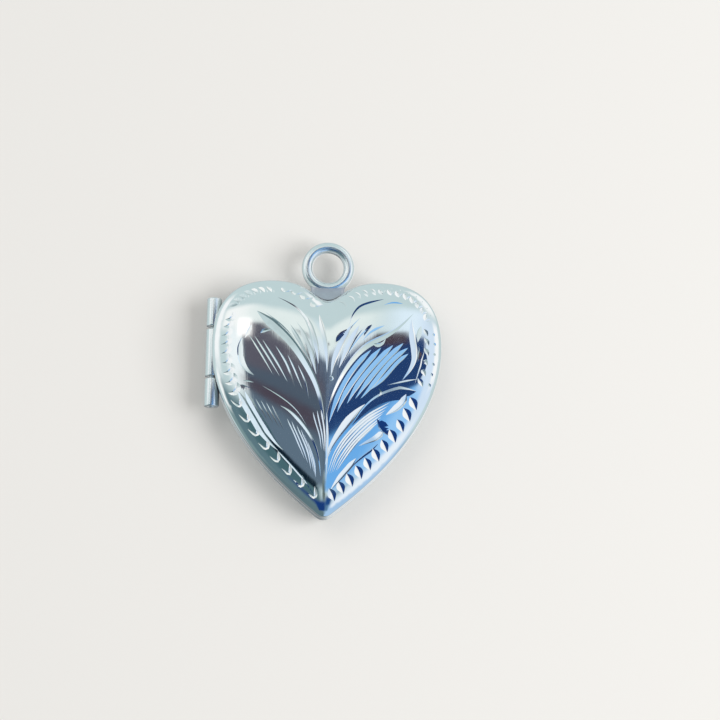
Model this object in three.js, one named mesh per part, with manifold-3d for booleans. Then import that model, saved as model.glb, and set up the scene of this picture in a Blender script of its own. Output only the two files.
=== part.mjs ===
// Heart locket: two domed silver shells that hinge on the left and snap shut, hung from a soldered ring.
//
// Millimetres. +Z is up through the ring, +X is to the right seen from the front, the engraved front
// faces -Y and the plain back faces +Y. The origin is the centre of the ring's hole, and the two
// halves meet in the plane Y = 0.

import * as THREE from "three";
import { mergeVertices } from "three/addons/utils/BufferGeometryUtils.js";
import Module from "manifold-3d";

const wasm = await Module();
wasm.setup();

// Bail ring and the foot that joins it to the heart
const RING_OUTER = 4.64;
const RING_WIRE = 0.96;
const FOOT_WIDTH = 3.0;
const FOOT_HEIGHT = 0.88;
const FOOT_LAP = 0.62;
const FOOT_TOP_THICKNESS = 0.76;
const FOOT_BASE_THICKNESS = 1.5;
const FOOT_TO_RING = 0.03;
const FOOT_TO_BACK = 0.03;
const FOOT_TO_FRONT = 0.12;

// Heart outline
const HEART_WIDTH = 20;
const HEART_HEIGHT = 20.8;
const LOBE_SPACING = 9.5;
const LOBE_RISE = 1.7;
const SHOULDER_DROP = 5.8;
const TIP_SHOULDER_WIDTH = 2.4;
const TIP_DROP = 0.68;
const TIP_SLOPE = 39;

// Fullness of the outline's curves, as shares of the span each one bends over
const CLEFT_FULLNESS = 0.25;
const LOBE_INNER_FULLNESS = 0.7;
const LOBE_OUTER_FULLNESS = 0.65;
const SHOULDER_FULLNESS = 0.67;
const FLANK_FULLNESS = 0.36;
const FLANK_STRAIGHT = 0.43;
const TIP_START_FULLNESS = 0.5;
const TIP_END_FULLNESS = 0.35;

// Shells
const SHEET = 0.32;
const WALL_DEPTH = 0.9;
const FRONT_RISE = 1.5;
const BACK_RISE = 1.0;
const BACK_FLAT_SHARE = 0.42;
const DOME_CENTRE_DROP = 8;
const DOME_CROWN_POWER = 2.4;
const DOME_RING_SHARES = [0, 0.012, 0.045, 0.1, 0.18, 0.29, 0.43, 0.62, 0.82];
const SPLIT_GAP = 0.03;

// Rim strip of the back half, over which the front half snaps
const RIM_THICKNESS = 0.24;
const RIM_STAND = 0.55;
const RIM_FIT = 0.06;
const RIM_BEAD = 0.035;
const RIM_LEAD = 0.1;

// Picture wells: a bezel in each half, a clear window and the frame that presses it in
const BEZEL_SHEET = 0.2;
const BEZEL_GAP = 0.02;
const BEZEL_SEAT_DEPTH = 0.72;
const BEZEL_FLANGE = 1.41;
const BEZEL_LIP_INSET = 1.02;
const BEZEL_LIP = 0.2;
const BEZEL_LIP_RISE = 0.44;
const WINDOW_THICKNESS = 0.14;
const WINDOW_GAP = 0.02;
const FRAME_FIT = 0.04;
const FRAME_WIDTH = 0.84;
const FRAME_THICKNESS = 0.36;
const FRAME_SKIRT = 0.16;
const FRAME_ROUNDING = 0.12;

// Hinge: three knuckles on one pin, in notches of the walls, each half's knuckles on its own bearer
const KNUCKLE_OUTER = 1.3;
const PIN_DIAMETER = 0.5;
const PIN_CLEARANCE = 0.03;
const PIN_STAND = 0.07;
const KNUCKLE_LENGTHS = [2.5, 4.2, 2.46];
const KNUCKLE_GAPS = [0.28, 0.2];
const KNUCKLE_CHAMFER = 0.06;
const HINGE_ABOVE_SHOULDER = 4.22;
const HINGE_SET_IN = 0.11;
const NOTCH_CLEARANCE = 0.08;
const BEARER_CLEARANCE = 0.05;
const BEARER_WIDTH = 0.61;
const BEARER_SHORTER = 0.5;
const BEARER_GAP = 0.02;

// Facets
const OUTLINE_POINTS = 72;
const END_CROWDING = 0.4;
const CURVE_STEPS = 60;
const ROUND_FACETS = 24;
const RING_FACETS = 48;
const RING_WIRE_FACETS = 16;
const FOOT_CURVE_FACETS = 6;
const PIN_HEAD_FACETS = 2;
const ON_AXIS = 1e-6;
const WELD = 1e-4;

// Places that follow from the sizes above
const FRONT = -1;
const BACK = 1;
const RING_RADIUS = (RING_OUTER - RING_WIRE) / 2;
const CLEFT_Z = -RING_OUTER / 2 - FOOT_HEIGHT;
const LOBE_Z = CLEFT_Z + LOBE_RISE;
const SHOULDER_Z = LOBE_Z - SHOULDER_DROP;
const TIP_Z = LOBE_Z - HEART_HEIGHT;
const HALF_WIDTH = HEART_WIDTH / 2;
const DOME_Z = LOBE_Z - DOME_CENTRE_DROP;
const HINGE_X = -HALF_WIDTH + HINGE_SET_IN;
const HINGE_TOP = SHOULDER_Z + HINGE_ABOVE_SHOULDER;
const HINGE_LENGTH = [...KNUCKLE_LENGTHS, ...KNUCKLE_GAPS].reduce((sum, length) => sum + length, 0);
const HINGE_BOTTOM = HINGE_TOP - HINGE_LENGTH;

const silver = new THREE.MeshStandardMaterial({ color: 0xd9dad6, roughness: 0.14, metalness: 1 });
const satinSilver = new THREE.MeshStandardMaterial({ color: 0xc9cac8, roughness: 0.3, metalness: 1 });
const clear = new THREE.MeshStandardMaterial({
  color: 0xeef2f2,
  roughness: 0.05,
  metalness: 0,
  transparent: true,
  opacity: 0.3,
});

// Right half of the heart from the cleft to the tip, as four smooth curves in the X-Z plane
function heartCurves() {
  const lobeX = LOBE_SPACING / 2;
  const tipX = TIP_SHOULDER_WIDTH / 2;
  const tipZ = TIP_Z + TIP_DROP;
  const slope = THREE.MathUtils.degToRad(TIP_SLOPE);
  const side = SHOULDER_Z - TIP_Z;
  const straight = FLANK_STRAIGHT * side;
  const tipPull = TIP_START_FULLNESS * tipX;
  const spans = [
    [
      [0, CLEFT_Z],
      [CLEFT_FULLNESS * lobeX, CLEFT_Z],
      [lobeX - LOBE_INNER_FULLNESS * lobeX, LOBE_Z],
      [lobeX, LOBE_Z],
    ],
    [
      [lobeX, LOBE_Z],
      [lobeX + LOBE_OUTER_FULLNESS * (HALF_WIDTH - lobeX), LOBE_Z],
      [HALF_WIDTH, SHOULDER_Z + SHOULDER_FULLNESS * (LOBE_Z - SHOULDER_Z)],
      [HALF_WIDTH, SHOULDER_Z],
    ],
    [
      [HALF_WIDTH, SHOULDER_Z],
      [HALF_WIDTH, SHOULDER_Z - FLANK_FULLNESS * side],
      [tipX + straight * Math.cos(slope), tipZ + straight * Math.sin(slope)],
      [tipX, tipZ],
    ],
    [
      [tipX, tipZ],
      [tipX - tipPull, tipZ - tipPull * Math.tan(slope)],
      [TIP_END_FULLNESS * tipX, TIP_Z],
      [0, TIP_Z],
    ],
  ];
  return spans.map((span) => new THREE.CubicBezierCurve(...span.map(([x, z]) => new THREE.Vector2(x, z))));
}

// The right half of the outline moved inwards by inset, ended where it meets the line of symmetry
function heartHalf(inset) {
  const points = [];
  for (const curve of heartCurves()) {
    for (let step = points.length ? 1 : 0; step <= CURVE_STEPS; step += 1) {
      const place = curve.getPoint(step / CURVE_STEPS);
      const along = curve.getTangent(step / CURVE_STEPS);
      points.push(new THREE.Vector2(place.x + along.y * inset, place.y - along.x * inset));
    }
  }
  points[points.length - 1].x = Math.min(points[points.length - 1].x, 0);
  const inside = points.filter((place) => place.x > ON_AXIS);
  const first = new THREE.Vector2(0, points[0].y);
  const last = inside[inside.length - 1];
  const next = points[points.indexOf(last) + 1];
  const share = next.x < 0 ? last.x / (last.x - next.x) : 1;
  const end = new THREE.Vector2(0, last.y + (next.y - last.y) * share);
  return [first, ...inside, end];
}

// Points round the whole heart at this inset from the cleft, closer together at the cleft and the tip
function heartRing(inset) {
  const half = heartHalf(inset);
  const lengths = [0];
  for (let i = 1; i < half.length; i += 1) {
    lengths.push(lengths[i - 1] + half[i].distanceTo(half[i - 1]));
  }
  const total = lengths[lengths.length - 1];
  const right = [];
  const spaces = OUTLINE_POINTS / 2;
  let segment = 1;
  for (let i = 0; i <= spaces; i += 1) {
    const turn = (2 * Math.PI * i) / spaces;
    const target = (total * (turn - END_CROWDING * Math.sin(turn))) / (2 * Math.PI);
    while (segment < half.length - 1 && lengths[segment] < target) segment += 1;
    const before = lengths[segment - 1];
    const share = (target - before) / (lengths[segment] - before);
    right.push(half[segment - 1].clone().lerp(half[segment], Math.min(share, 1)));
  }
  const left = right.slice(1, -1).reverse();
  return [...right, ...left.map((place) => new THREE.Vector2(-place.x, place.y))];
}

// A ring of points at one inset and one depth behind the meeting plane, shrunk towards the dome centre
function level(inset, depth, side, shrink = 0) {
  return heartRing(inset).map(
    (place) =>
      new THREE.Vector3(place.x * (1 - shrink), side * depth, DOME_Z + (place.y - DOME_Z) * (1 - shrink)),
  );
}

function signedVolume(positions, index) {
  const a = new THREE.Vector3();
  const b = new THREE.Vector3();
  const c = new THREE.Vector3();
  let volume = 0;
  for (let i = 0; i < index.length; i += 3) {
    a.fromArray(positions, index[i] * 3);
    b.fromArray(positions, index[i + 1] * 3);
    c.fromArray(positions, index[i + 2] * 3);
    volume += a.dot(b.cross(c)) / 6;
  }
  return volume;
}

// A closed skin over rings of equal count. With two hub heights its ends are closed by a fan to a point
// over the dome centre at each height, and without them the last ring joins the first
function loft(rings, hubs = []) {
  const count = rings[0].length;
  const positions = rings.flat().flatMap((place) => place.toArray());
  const index = [];
  const spans = hubs.length ? rings.length - 1 : rings.length;
  for (let r = 0; r < spans; r += 1) {
    const here = r * count;
    const there = ((r + 1) % rings.length) * count;
    for (let i = 0; i < count; i += 1) {
      const j = (i + 1) % count;
      index.push(here + i, there + i, there + j, here + i, there + j, here + j);
    }
  }
  for (const [end, height] of hubs.entries()) {
    const ring = end * (rings.length - 1) * count;
    const hub = positions.length / 3;
    positions.push(0, height, DOME_Z);
    for (let i = 0; i < count; i += 1) {
      const here = ring + i;
      const there = ring + ((i + 1) % count);
      index.push(hub, end ? there : here, end ? here : there);
    }
  }
  if (signedVolume(positions, index) < 0) index.reverse();
  const geometry = new THREE.BufferGeometry();
  geometry.setAttribute("position", new THREE.Float32BufferAttribute(positions, 3));
  geometry.setIndex(index);
  return geometry;
}

// A heart-shaped strip whose section is a list of [inset, depth] corners
function heartStrip(section, side) {
  return loft(section.map(([inset, depth]) => level(inset, depth, side)));
}

// A flat heart-shaped slab between two heights
function slab(inset, fromY, toY) {
  return loft([level(inset, fromY, BACK), level(inset, toY, BACK)], [fromY, toY]);
}

function toManifold(geometry) {
  const bare = geometry.clone();
  bare.deleteAttribute("normal");
  bare.deleteAttribute("uv");
  const merged = mergeVertices(bare, WELD);
  return new wasm.Manifold(
    new wasm.Mesh({
      numProp: 3,
      vertProperties: new Float32Array(merged.attributes.position.array),
      triVerts: new Uint32Array(merged.index.array),
    }),
  );
}

function fromManifold(solid) {
  const mesh = solid.getMesh();
  const geometry = new THREE.BufferGeometry();
  geometry.setAttribute("position", new THREE.Float32BufferAttribute(mesh.vertProperties, 3));
  geometry.setIndex(Array.from(mesh.triVerts));
  return geometry;
}

function cut(geometry, ...tools) {
  return fromManifold(tools.reduce((solid, tool) => solid.subtract(toManifold(tool)), toManifold(geometry)));
}

function keep(geometry, tool) {
  return fromManifold(toManifold(geometry).intersect(toManifold(tool)));
}

// A box from one corner to the other
function block(low, high) {
  const size = high.map((value, axis) => value - low[axis]);
  const box = new THREE.BoxGeometry(...size);
  return box.translate(...low.map((value, axis) => value + size[axis] / 2));
}

// An upright cylinder on the hinge axis
function hingeCylinder(radius, top, bottom) {
  const cylinder = new THREE.CylinderGeometry(radius, radius, top - bottom, ROUND_FACETS);
  return cylinder.rotateX(Math.PI / 2).translate(HINGE_X, 0, (top + bottom) / 2);
}

// The walls are notched over the whole hinge, with a little room at both ends
function hingeNotch() {
  const radius = KNUCKLE_OUTER / 2 + NOTCH_CLEARANCE;
  return hingeCylinder(radius, HINGE_TOP + NOTCH_CLEARANCE, HINGE_BOTTOM - NOTCH_CLEARANCE);
}

// Height of the dome from the rim (share 0) to the middle (share 1), as a share of the rise
function domeProfile(share) {
  return Math.sqrt(1 - (1 - share) ** DOME_CROWN_POWER);
}

// One half of the case: a straight wall, a rolled shoulder and a dome, all of one thickness of sheet
function shell(side, rise, edgeDepth, flatShare) {
  const fullShare = 1 - flatShare;
  const skin = (inset, height) =>
    DOME_RING_SHARES.map((share) => {
      const along = share * fullShare;
      const depth = WALL_DEPTH + height * domeProfile(share);
      return level(inset, depth, side, along);
    });
  const flatEdge = (inset, height) => level(inset, WALL_DEPTH + height, side, fullShare);
  const face = (inset, height) =>
    flatShare > 0 ? [...skin(inset, height), flatEdge(inset, height)] : skin(inset, height);
  const innerRise = rise - SHEET;
  const outside = [level(0, edgeDepth, side), ...face(0, rise)];
  const inside = [level(SHEET, edgeDepth, side), ...face(SHEET, innerRise)];
  const rings = [...outside.reverse(), ...inside];
  const hubs = [rise, innerRise].map((height) => side * (WALL_DEPTH + height));
  return cut(loft(rings, hubs), hingeNotch());
}

// The strip that stands up from the back half's wall, cut away beside the hinge
function snapRim() {
  const outer = SHEET + RIM_FIT;
  const inner = outer + RIM_THICKNESS;
  const seat = BEZEL_SEAT_DEPTH - BEZEL_GAP;
  const beadDepth = -RIM_STAND / 2;
  const strip = heartStrip(
    [
      [outer, seat],
      [outer, beadDepth + 2 * RIM_BEAD],
      [outer - RIM_BEAD, beadDepth],
      [outer, beadDepth - 2 * RIM_BEAD],
      [outer + RIM_LEAD / 2, -RIM_STAND],
      [inner, -RIM_STAND],
      [inner, seat],
    ],
    BACK,
  );
  const room = 2 * NOTCH_CLEARANCE;
  const beside = block(
    [-HEART_WIDTH, -HEART_WIDTH, HINGE_BOTTOM - room],
    [-HALF_WIDTH / 2, HEART_WIDTH, HINGE_TOP + room],
  );
  return cut(strip, beside);
}

// An angle strip along the inside of the wall: a flange to seat the window and a lip round the frame
function bezel(side) {
  const outer = SHEET + BEZEL_GAP;
  const under = BEZEL_SEAT_DEPTH + BEZEL_SHEET;
  const lipTop = BEZEL_SEAT_DEPTH - BEZEL_LIP_RISE;
  return heartStrip(
    [
      [outer, BEZEL_SEAT_DEPTH],
      [BEZEL_LIP_INSET, BEZEL_SEAT_DEPTH],
      [BEZEL_LIP_INSET, lipTop],
      [BEZEL_LIP_INSET + BEZEL_LIP, lipTop],
      [BEZEL_LIP_INSET + BEZEL_LIP, BEZEL_SEAT_DEPTH],
      [outer + BEZEL_FLANGE, BEZEL_SEAT_DEPTH],
      [outer + BEZEL_FLANGE, under],
      [outer, under],
    ],
    side,
  );
}

const FRAME_INSET = BEZEL_LIP_INSET + BEZEL_LIP + FRAME_FIT;
const WINDOW_DEPTH = BEZEL_SEAT_DEPTH - WINDOW_GAP;
const FRAME_UNDER = WINDOW_DEPTH - WINDOW_THICKNESS - WINDOW_GAP;

// A removable frame with a thin skirt that presses into the lip and holds the window down
function pictureFrame(side) {
  const inner = FRAME_INSET + FRAME_WIDTH;
  const top = FRAME_UNDER - FRAME_THICKNESS;
  return heartStrip(
    [
      [FRAME_INSET, WINDOW_DEPTH],
      [FRAME_INSET, top + FRAME_ROUNDING],
      [FRAME_INSET + FRAME_ROUNDING, top],
      [inner - 2 * FRAME_ROUNDING, top],
      [inner, FRAME_UNDER - FRAME_ROUNDING],
      [inner, FRAME_UNDER],
      [FRAME_INSET + FRAME_SKIRT, FRAME_UNDER],
      [FRAME_INSET + FRAME_SKIRT, WINDOW_DEPTH],
    ],
    side,
  );
}

function windowPane(side) {
  const inset = FRAME_INSET + FRAME_SKIRT + WINDOW_GAP;
  return slab(inset, side * (WINDOW_DEPTH - WINDOW_THICKNESS), side * WINDOW_DEPTH);
}

// A bar in the corner between wall and bezel, hollowed to take the knuckles
function hingeBearer(side) {
  const outer = SHEET + BEARER_GAP;
  const inner = outer + BEARER_WIDTH;
  const deep = BEZEL_SEAT_DEPTH - BEARER_GAP;
  const bar = heartStrip([[outer, SPLIT_GAP], [inner, SPLIT_GAP], [inner, deep], [outer, deep]], side);
  const reach = block(
    [-HEART_WIDTH, -HEART_WIDTH, HINGE_BOTTOM + BEARER_SHORTER],
    [-HALF_WIDTH / 2, HEART_WIDTH, HINGE_TOP - BEARER_SHORTER],
  );
  const hollow = hingeCylinder(KNUCKLE_OUTER / 2 + BEARER_CLEARANCE, HINGE_TOP, HINGE_BOTTOM);
  return cut(keep(bar, reach), hollow);
}

// A length of tube on the hinge axis with its outer edges broken
function knuckle(top, length) {
  const outer = KNUCKLE_OUTER / 2;
  const bore = PIN_DIAMETER / 2 + PIN_CLEARANCE;
  const half = length / 2;
  const section = [
    [bore, -half],
    [outer - KNUCKLE_CHAMFER, -half],
    [outer, -half + KNUCKLE_CHAMFER],
    [outer, half - KNUCKLE_CHAMFER],
    [outer - KNUCKLE_CHAMFER, half],
    [bore, half],
    [bore, -half],
  ].map(([radius, height]) => new THREE.Vector2(radius, height));
  const tube = new THREE.LatheGeometry(section, ROUND_FACETS);
  return tube.rotateX(Math.PI / 2).translate(HINGE_X, 0, top - half);
}

// The hinge pin, cut a little proud of the end knuckles and domed at both ends
function hingePin() {
  const half = HINGE_LENGTH / 2;
  const head = [];
  for (let step = 0; step <= PIN_HEAD_FACETS; step += 1) {
    const turn = (Math.PI / 2) * (step / PIN_HEAD_FACETS);
    const radius = step < PIN_HEAD_FACETS ? (PIN_DIAMETER / 2) * Math.cos(turn) : 0;
    head.push(new THREE.Vector2(radius, half + PIN_STAND * Math.sin(turn)));
  }
  const foot = head.map((place) => new THREE.Vector2(place.x, -place.y)).reverse();
  const pin = new THREE.LatheGeometry([...foot, ...head], ROUND_FACETS);
  return pin.rotateX(Math.PI / 2).translate(HINGE_X, 0, HINGE_TOP - half);
}

function ringTorus(wireRadius) {
  const ring = new THREE.TorusGeometry(RING_RADIUS, wireRadius, RING_WIRE_FACETS, RING_FACETS);
  return ring.rotateX(Math.PI / 2);
}

// The solder foot: widens from the ring down into the cleft and follows the back half's wall
function bailFoot() {
  const top = -RING_OUTER / 2 + FOOT_LAP;
  const topHalf = FOOT_TOP_THICKNESS / 2;
  const baseHalf = FOOT_BASE_THICKNESS / 2;
  const base = CLEFT_Z;
  const section = new THREE.Shape();
  section.moveTo(-topHalf, top);
  section.quadraticCurveTo(-topHalf, base + FOOT_HEIGHT / 2, -baseHalf, base);
  section.lineTo(baseHalf, base);
  section.quadraticCurveTo(topHalf, base + FOOT_HEIGHT / 2, topHalf, top);
  section.closePath();
  const wedge = new THREE.ExtrudeGeometry(section, {
    depth: FOOT_WIDTH,
    bevelEnabled: false,
    curveSegments: FOOT_CURVE_FACETS,
  });
  // The section is drawn in Y-Z and runs along X
  wedge.applyMatrix4(new THREE.Matrix4().set(0, 0, 1, -FOOT_WIDTH / 2, 1, 0, 0, 0, 0, 1, 0, 0, 0, 0, 0, 1));
  return cut(
    wedge,
    ringTorus(RING_WIRE / 2 + FOOT_TO_RING),
    slab(-FOOT_TO_BACK, -SPLIT_GAP, FOOT_BASE_THICKNESS),
    slab(-FOOT_TO_FRONT, -FOOT_BASE_THICKNESS, 0),
  );
}

const locket = new THREE.Group();

function place(name, geometry, material) {
  const mesh = new THREE.Mesh(geometry, material);
  mesh.name = name;
  locket.add(mesh);
}

place("front_cover", shell(FRONT, FRONT_RISE, SPLIT_GAP, 0), silver);
place("back_cover", shell(BACK, BACK_RISE, 0, BACK_FLAT_SHARE), silver);
place("snap_rim", snapRim(), satinSilver);

for (const [half, side] of [["front", FRONT], ["back", BACK]]) {
  place(`${half}_bezel`, bezel(side), satinSilver);
  place(`${half}_frame`, pictureFrame(side), silver);
  place(`${half}_window`, windowPane(side), clear);
  place(`${half}_bearer`, hingeBearer(side), satinSilver);
}

let knuckleTop = HINGE_TOP;
for (const [i, name] of ["knuckle_top", "knuckle_middle", "knuckle_bottom"].entries()) {
  place(name, knuckle(knuckleTop, KNUCKLE_LENGTHS[i]), silver);
  knuckleTop -= KNUCKLE_LENGTHS[i] + (KNUCKLE_GAPS[i] ?? 0);
}
place("hinge_pin", hingePin(), satinSilver);

place("bail_ring", ringTorus(RING_WIRE / 2), silver);
place("bail_foot", bailFoot(), satinSilver);

export default locket;
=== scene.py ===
"""Looks for a small heart locket in polished silver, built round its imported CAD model.

The locket hangs upright in the frame: +Z is up through its ring, the engraved front faces -Y and the
plain back +Y. Sizes are in millimetres, as a jeweller gives them, and become metres when a mesh is made.
A place on the face is a pair, x and z.
"""

import logging
import math
from dataclasses import dataclass, field, replace
from enum import Enum
from typing import Callable, Iterable, Sequence

import bpy
import numpy as np
from mathutils import Matrix, Vector
from mathutils.geometry import delaunay_2d_cdt


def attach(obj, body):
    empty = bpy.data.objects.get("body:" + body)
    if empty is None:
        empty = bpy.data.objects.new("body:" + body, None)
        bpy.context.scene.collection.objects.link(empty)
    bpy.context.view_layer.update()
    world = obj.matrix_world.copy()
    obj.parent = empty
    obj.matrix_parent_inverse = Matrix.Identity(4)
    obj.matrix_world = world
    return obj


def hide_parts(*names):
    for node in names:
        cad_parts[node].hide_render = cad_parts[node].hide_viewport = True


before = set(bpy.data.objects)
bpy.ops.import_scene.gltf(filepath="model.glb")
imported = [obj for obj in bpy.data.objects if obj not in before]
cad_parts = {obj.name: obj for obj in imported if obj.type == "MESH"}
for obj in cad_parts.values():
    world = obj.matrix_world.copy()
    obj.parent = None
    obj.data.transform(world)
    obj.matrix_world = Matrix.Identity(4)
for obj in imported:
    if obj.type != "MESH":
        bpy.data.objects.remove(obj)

LOG = logging.getLogger("locket")
MM = 0.001

# Seed of the small errors of the engraver's hand
HAND_SEED = 11

# Distance in mm within which a place counts as on the line of symmetry
ON_MIDDLE = 1e-6

# Degrees by which the locket is seen from the left of and from below square
SEEN_FROM_LEFT = 1.6
SEEN_FROM_BELOW = 12.4

Point = tuple[float, float]
Triple = tuple[float, float, float]
Colour = tuple[float, float, float, float]
Section = list[Point]
Socket = bpy.types.NodeSocket


class Side(Enum):
    """Which way a half of the case faces along Y."""

    FRONT = -1
    BACK = 1


class Slot(Enum):
    """The record's material slots that new pieces take their finish from."""

    POLISHED = "polished_silver"
    SATIN = "satin_silver"


# Lines


def lengths_along(line: np.ndarray) -> np.ndarray:
    """Distance of each point of a line from its start."""
    return np.concatenate([[0], np.cumsum(np.linalg.norm(np.diff(line, axis=0), axis=1))])


def evenly_spaced(line: np.ndarray, count: int) -> np.ndarray:
    """Points spread evenly along a line.

    Args:
        line: The points that the line runs through.
        count: How many points are wanted, both ends among them.

    Returns:
        The points.
    """
    lengths = lengths_along(line)
    wanted = np.linspace(0, lengths[-1], count)
    return np.stack([np.interp(wanted, lengths, column) for column in line.T], axis=1)


def unit(ways: np.ndarray) -> np.ndarray:
    """The same directions, each made one long."""
    return ways / np.linalg.norm(ways, axis=1)[:, None]


def left_of(line: np.ndarray) -> np.ndarray:
    """Directions to the left of a line's travel, one at each of its points."""
    along = unit(np.gradient(line, axis=0))
    return np.stack([-along[:, 1], along[:, 0]], axis=1)


def round_angles(count: int) -> np.ndarray:
    """Angles of points spread evenly round a circle."""
    return np.linspace(0, 2 * math.pi, count, endpoint=False)


def slow_start(count: int) -> np.ndarray:
    """Shares from 0 to 1 that lie closest together near 0."""
    return 1 - np.cos(np.linspace(0, math.pi / 2, count))


def rounded(section: Section, radius: float, steps: int = 4) -> Section:
    """A closed section with every corner rounded.

    Args:
        section: Corners in order.
        radius: Radius of the rounding, made smaller where a side is short.
        steps: Points along each rounding.

    Returns:
        The corners of the rounded section.
    """
    most_of_side = 0.45
    corners = np.array(section, float)
    result = []
    for before, here, after in zip(np.roll(corners, 1, axis=0), corners, np.roll(corners, -1, axis=0)):
        back, on = before - here, after - here
        reach = min(radius, most_of_side * np.linalg.norm(back), most_of_side * np.linalg.norm(on))
        start = here + back / np.linalg.norm(back) * reach
        end = here + on / np.linalg.norm(on) * reach
        for share in np.linspace(0, 1, steps):
            place = (1 - share) ** 2 * start + 2 * share * (1 - share) * here + share**2 * end
            result.append((float(place[0]), float(place[1])))
    return result


def at_depth(ring: np.ndarray, y: float | np.ndarray) -> np.ndarray:
    """The places of a ring set at a distance along Y."""
    return np.stack([ring[:, 0], np.broadcast_to(y, len(ring)), ring[:, 1]], axis=1)


# Heart and dome


@dataclass(frozen=True)
class HeartShape:
    """The outline of the heart and the dome over it, with the CAD model's sizes in mm.

    A pull is how far a handle of one of the outline's curves reaches, as a share of the size it runs along.
    """

    half_width: float = 10.0
    cleft_z: float = -3.20
    lobe_x: float = 4.75
    lobe_z: float = -1.50
    shoulder_z: float = -7.30
    tip_z: float = -22.30
    tip_half: float = 1.2
    tip_drop: float = 0.68
    tip_slope: float = 39.0
    cleft_pull: float = 0.25
    lobe_pull: float = 0.3
    crown_pull: float = 0.65
    shoulder_pull: float = 0.67
    flank_pull: float = 0.36
    tip_pull: float = 0.43
    corner_pull: float = 0.5
    point_pull: float = 0.35
    centre_z: float = -9.50
    wall: float = 0.9
    crown_power: float = 2.4
    curve_steps: int = 160

    def curves(self) -> list[np.ndarray]:
        """Control points of the four curves from the cleft to the tip.

        Returns:
            Four arrays of four places.
        """
        slope = math.radians(self.tip_slope)
        side = self.shoulder_z - self.tip_z
        reach = self.tip_pull * side
        lobe, width, tip = self.lobe_x, self.half_width, self.tip_half
        corner_z = self.tip_z + self.tip_drop
        bend = self.corner_pull * tip
        rise = self.shoulder_z + self.shoulder_pull * (self.lobe_z - self.shoulder_z)
        top, shoulder, corner = (lobe, self.lobe_z), (width, self.shoulder_z), (tip, corner_z)
        chains = [
            [
                (0, self.cleft_z),
                (self.cleft_pull * lobe, self.cleft_z),
                (self.lobe_pull * lobe, self.lobe_z),
                top,
            ],
            [top, (lobe + self.crown_pull * (width - lobe), self.lobe_z), (width, rise), shoulder],
            [
                shoulder,
                (width, self.shoulder_z - self.flank_pull * side),
                (tip + reach * math.cos(slope), corner_z + reach * math.sin(slope)),
                corner,
            ],
            [
                corner,
                (bend, corner_z - bend * math.tan(slope)),
                (self.point_pull * tip, self.tip_z),
                (0, self.tip_z),
            ],
        ]
        return [np.array(chain, float) for chain in chains]

    def half(self, inset: float) -> np.ndarray:
        """The right half of the outline moved inwards and ended on the line of symmetry.

        Args:
            inset: How far inside the outline the line runs, in mm.

        Returns:
            Places from the cleft to the tip.
        """
        share = np.linspace(0, 1, self.curve_steps + 1)[:, None]
        rest = 1 - share
        points = []
        for a, b, c, d in self.curves():
            place = rest**3 * a + 3 * rest**2 * share * b + 3 * rest * share**2 * c + share**3 * d
            along = unit(rest**2 * (b - a) + 2 * rest * share * (c - b) + share**2 * (d - c))
            moved = place + inset * np.stack([along[:, 1], -along[:, 0]], axis=1)
            points.append(moved[1:] if points else moved)
        line = np.concatenate(points)
        line[0, 0] = 0
        line[-1, 0] = min(line[-1, 0], 0)
        last = np.nonzero(line[:, 0] > ON_MIDDLE)[0][-1]
        step = line[last + 1] - line[last]
        reach = line[last, 0] / -step[0] if line[last + 1, 0] < 0 else 1.0
        first = [[0, line[0, 1]]]
        end = [[0, line[last, 1] + step[1] * reach]]
        inside = line[: last + 1][line[: last + 1, 0] > ON_MIDDLE]
        return np.concatenate([first, inside, end])

    def ring(self, inset: float, count: int) -> np.ndarray:
        """Places spread evenly round the whole heart, starting at the cleft and going to the right.

        Args:
            inset: How far inside the outline the ring runs, in mm.
            count: Number of places, an even number.

        Returns:
            The places.
        """
        right = evenly_spaced(self.half(inset), count // 2 + 1)
        left = right[1:-1][::-1] * [-1, 1]
        return np.concatenate([right, left])


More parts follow.
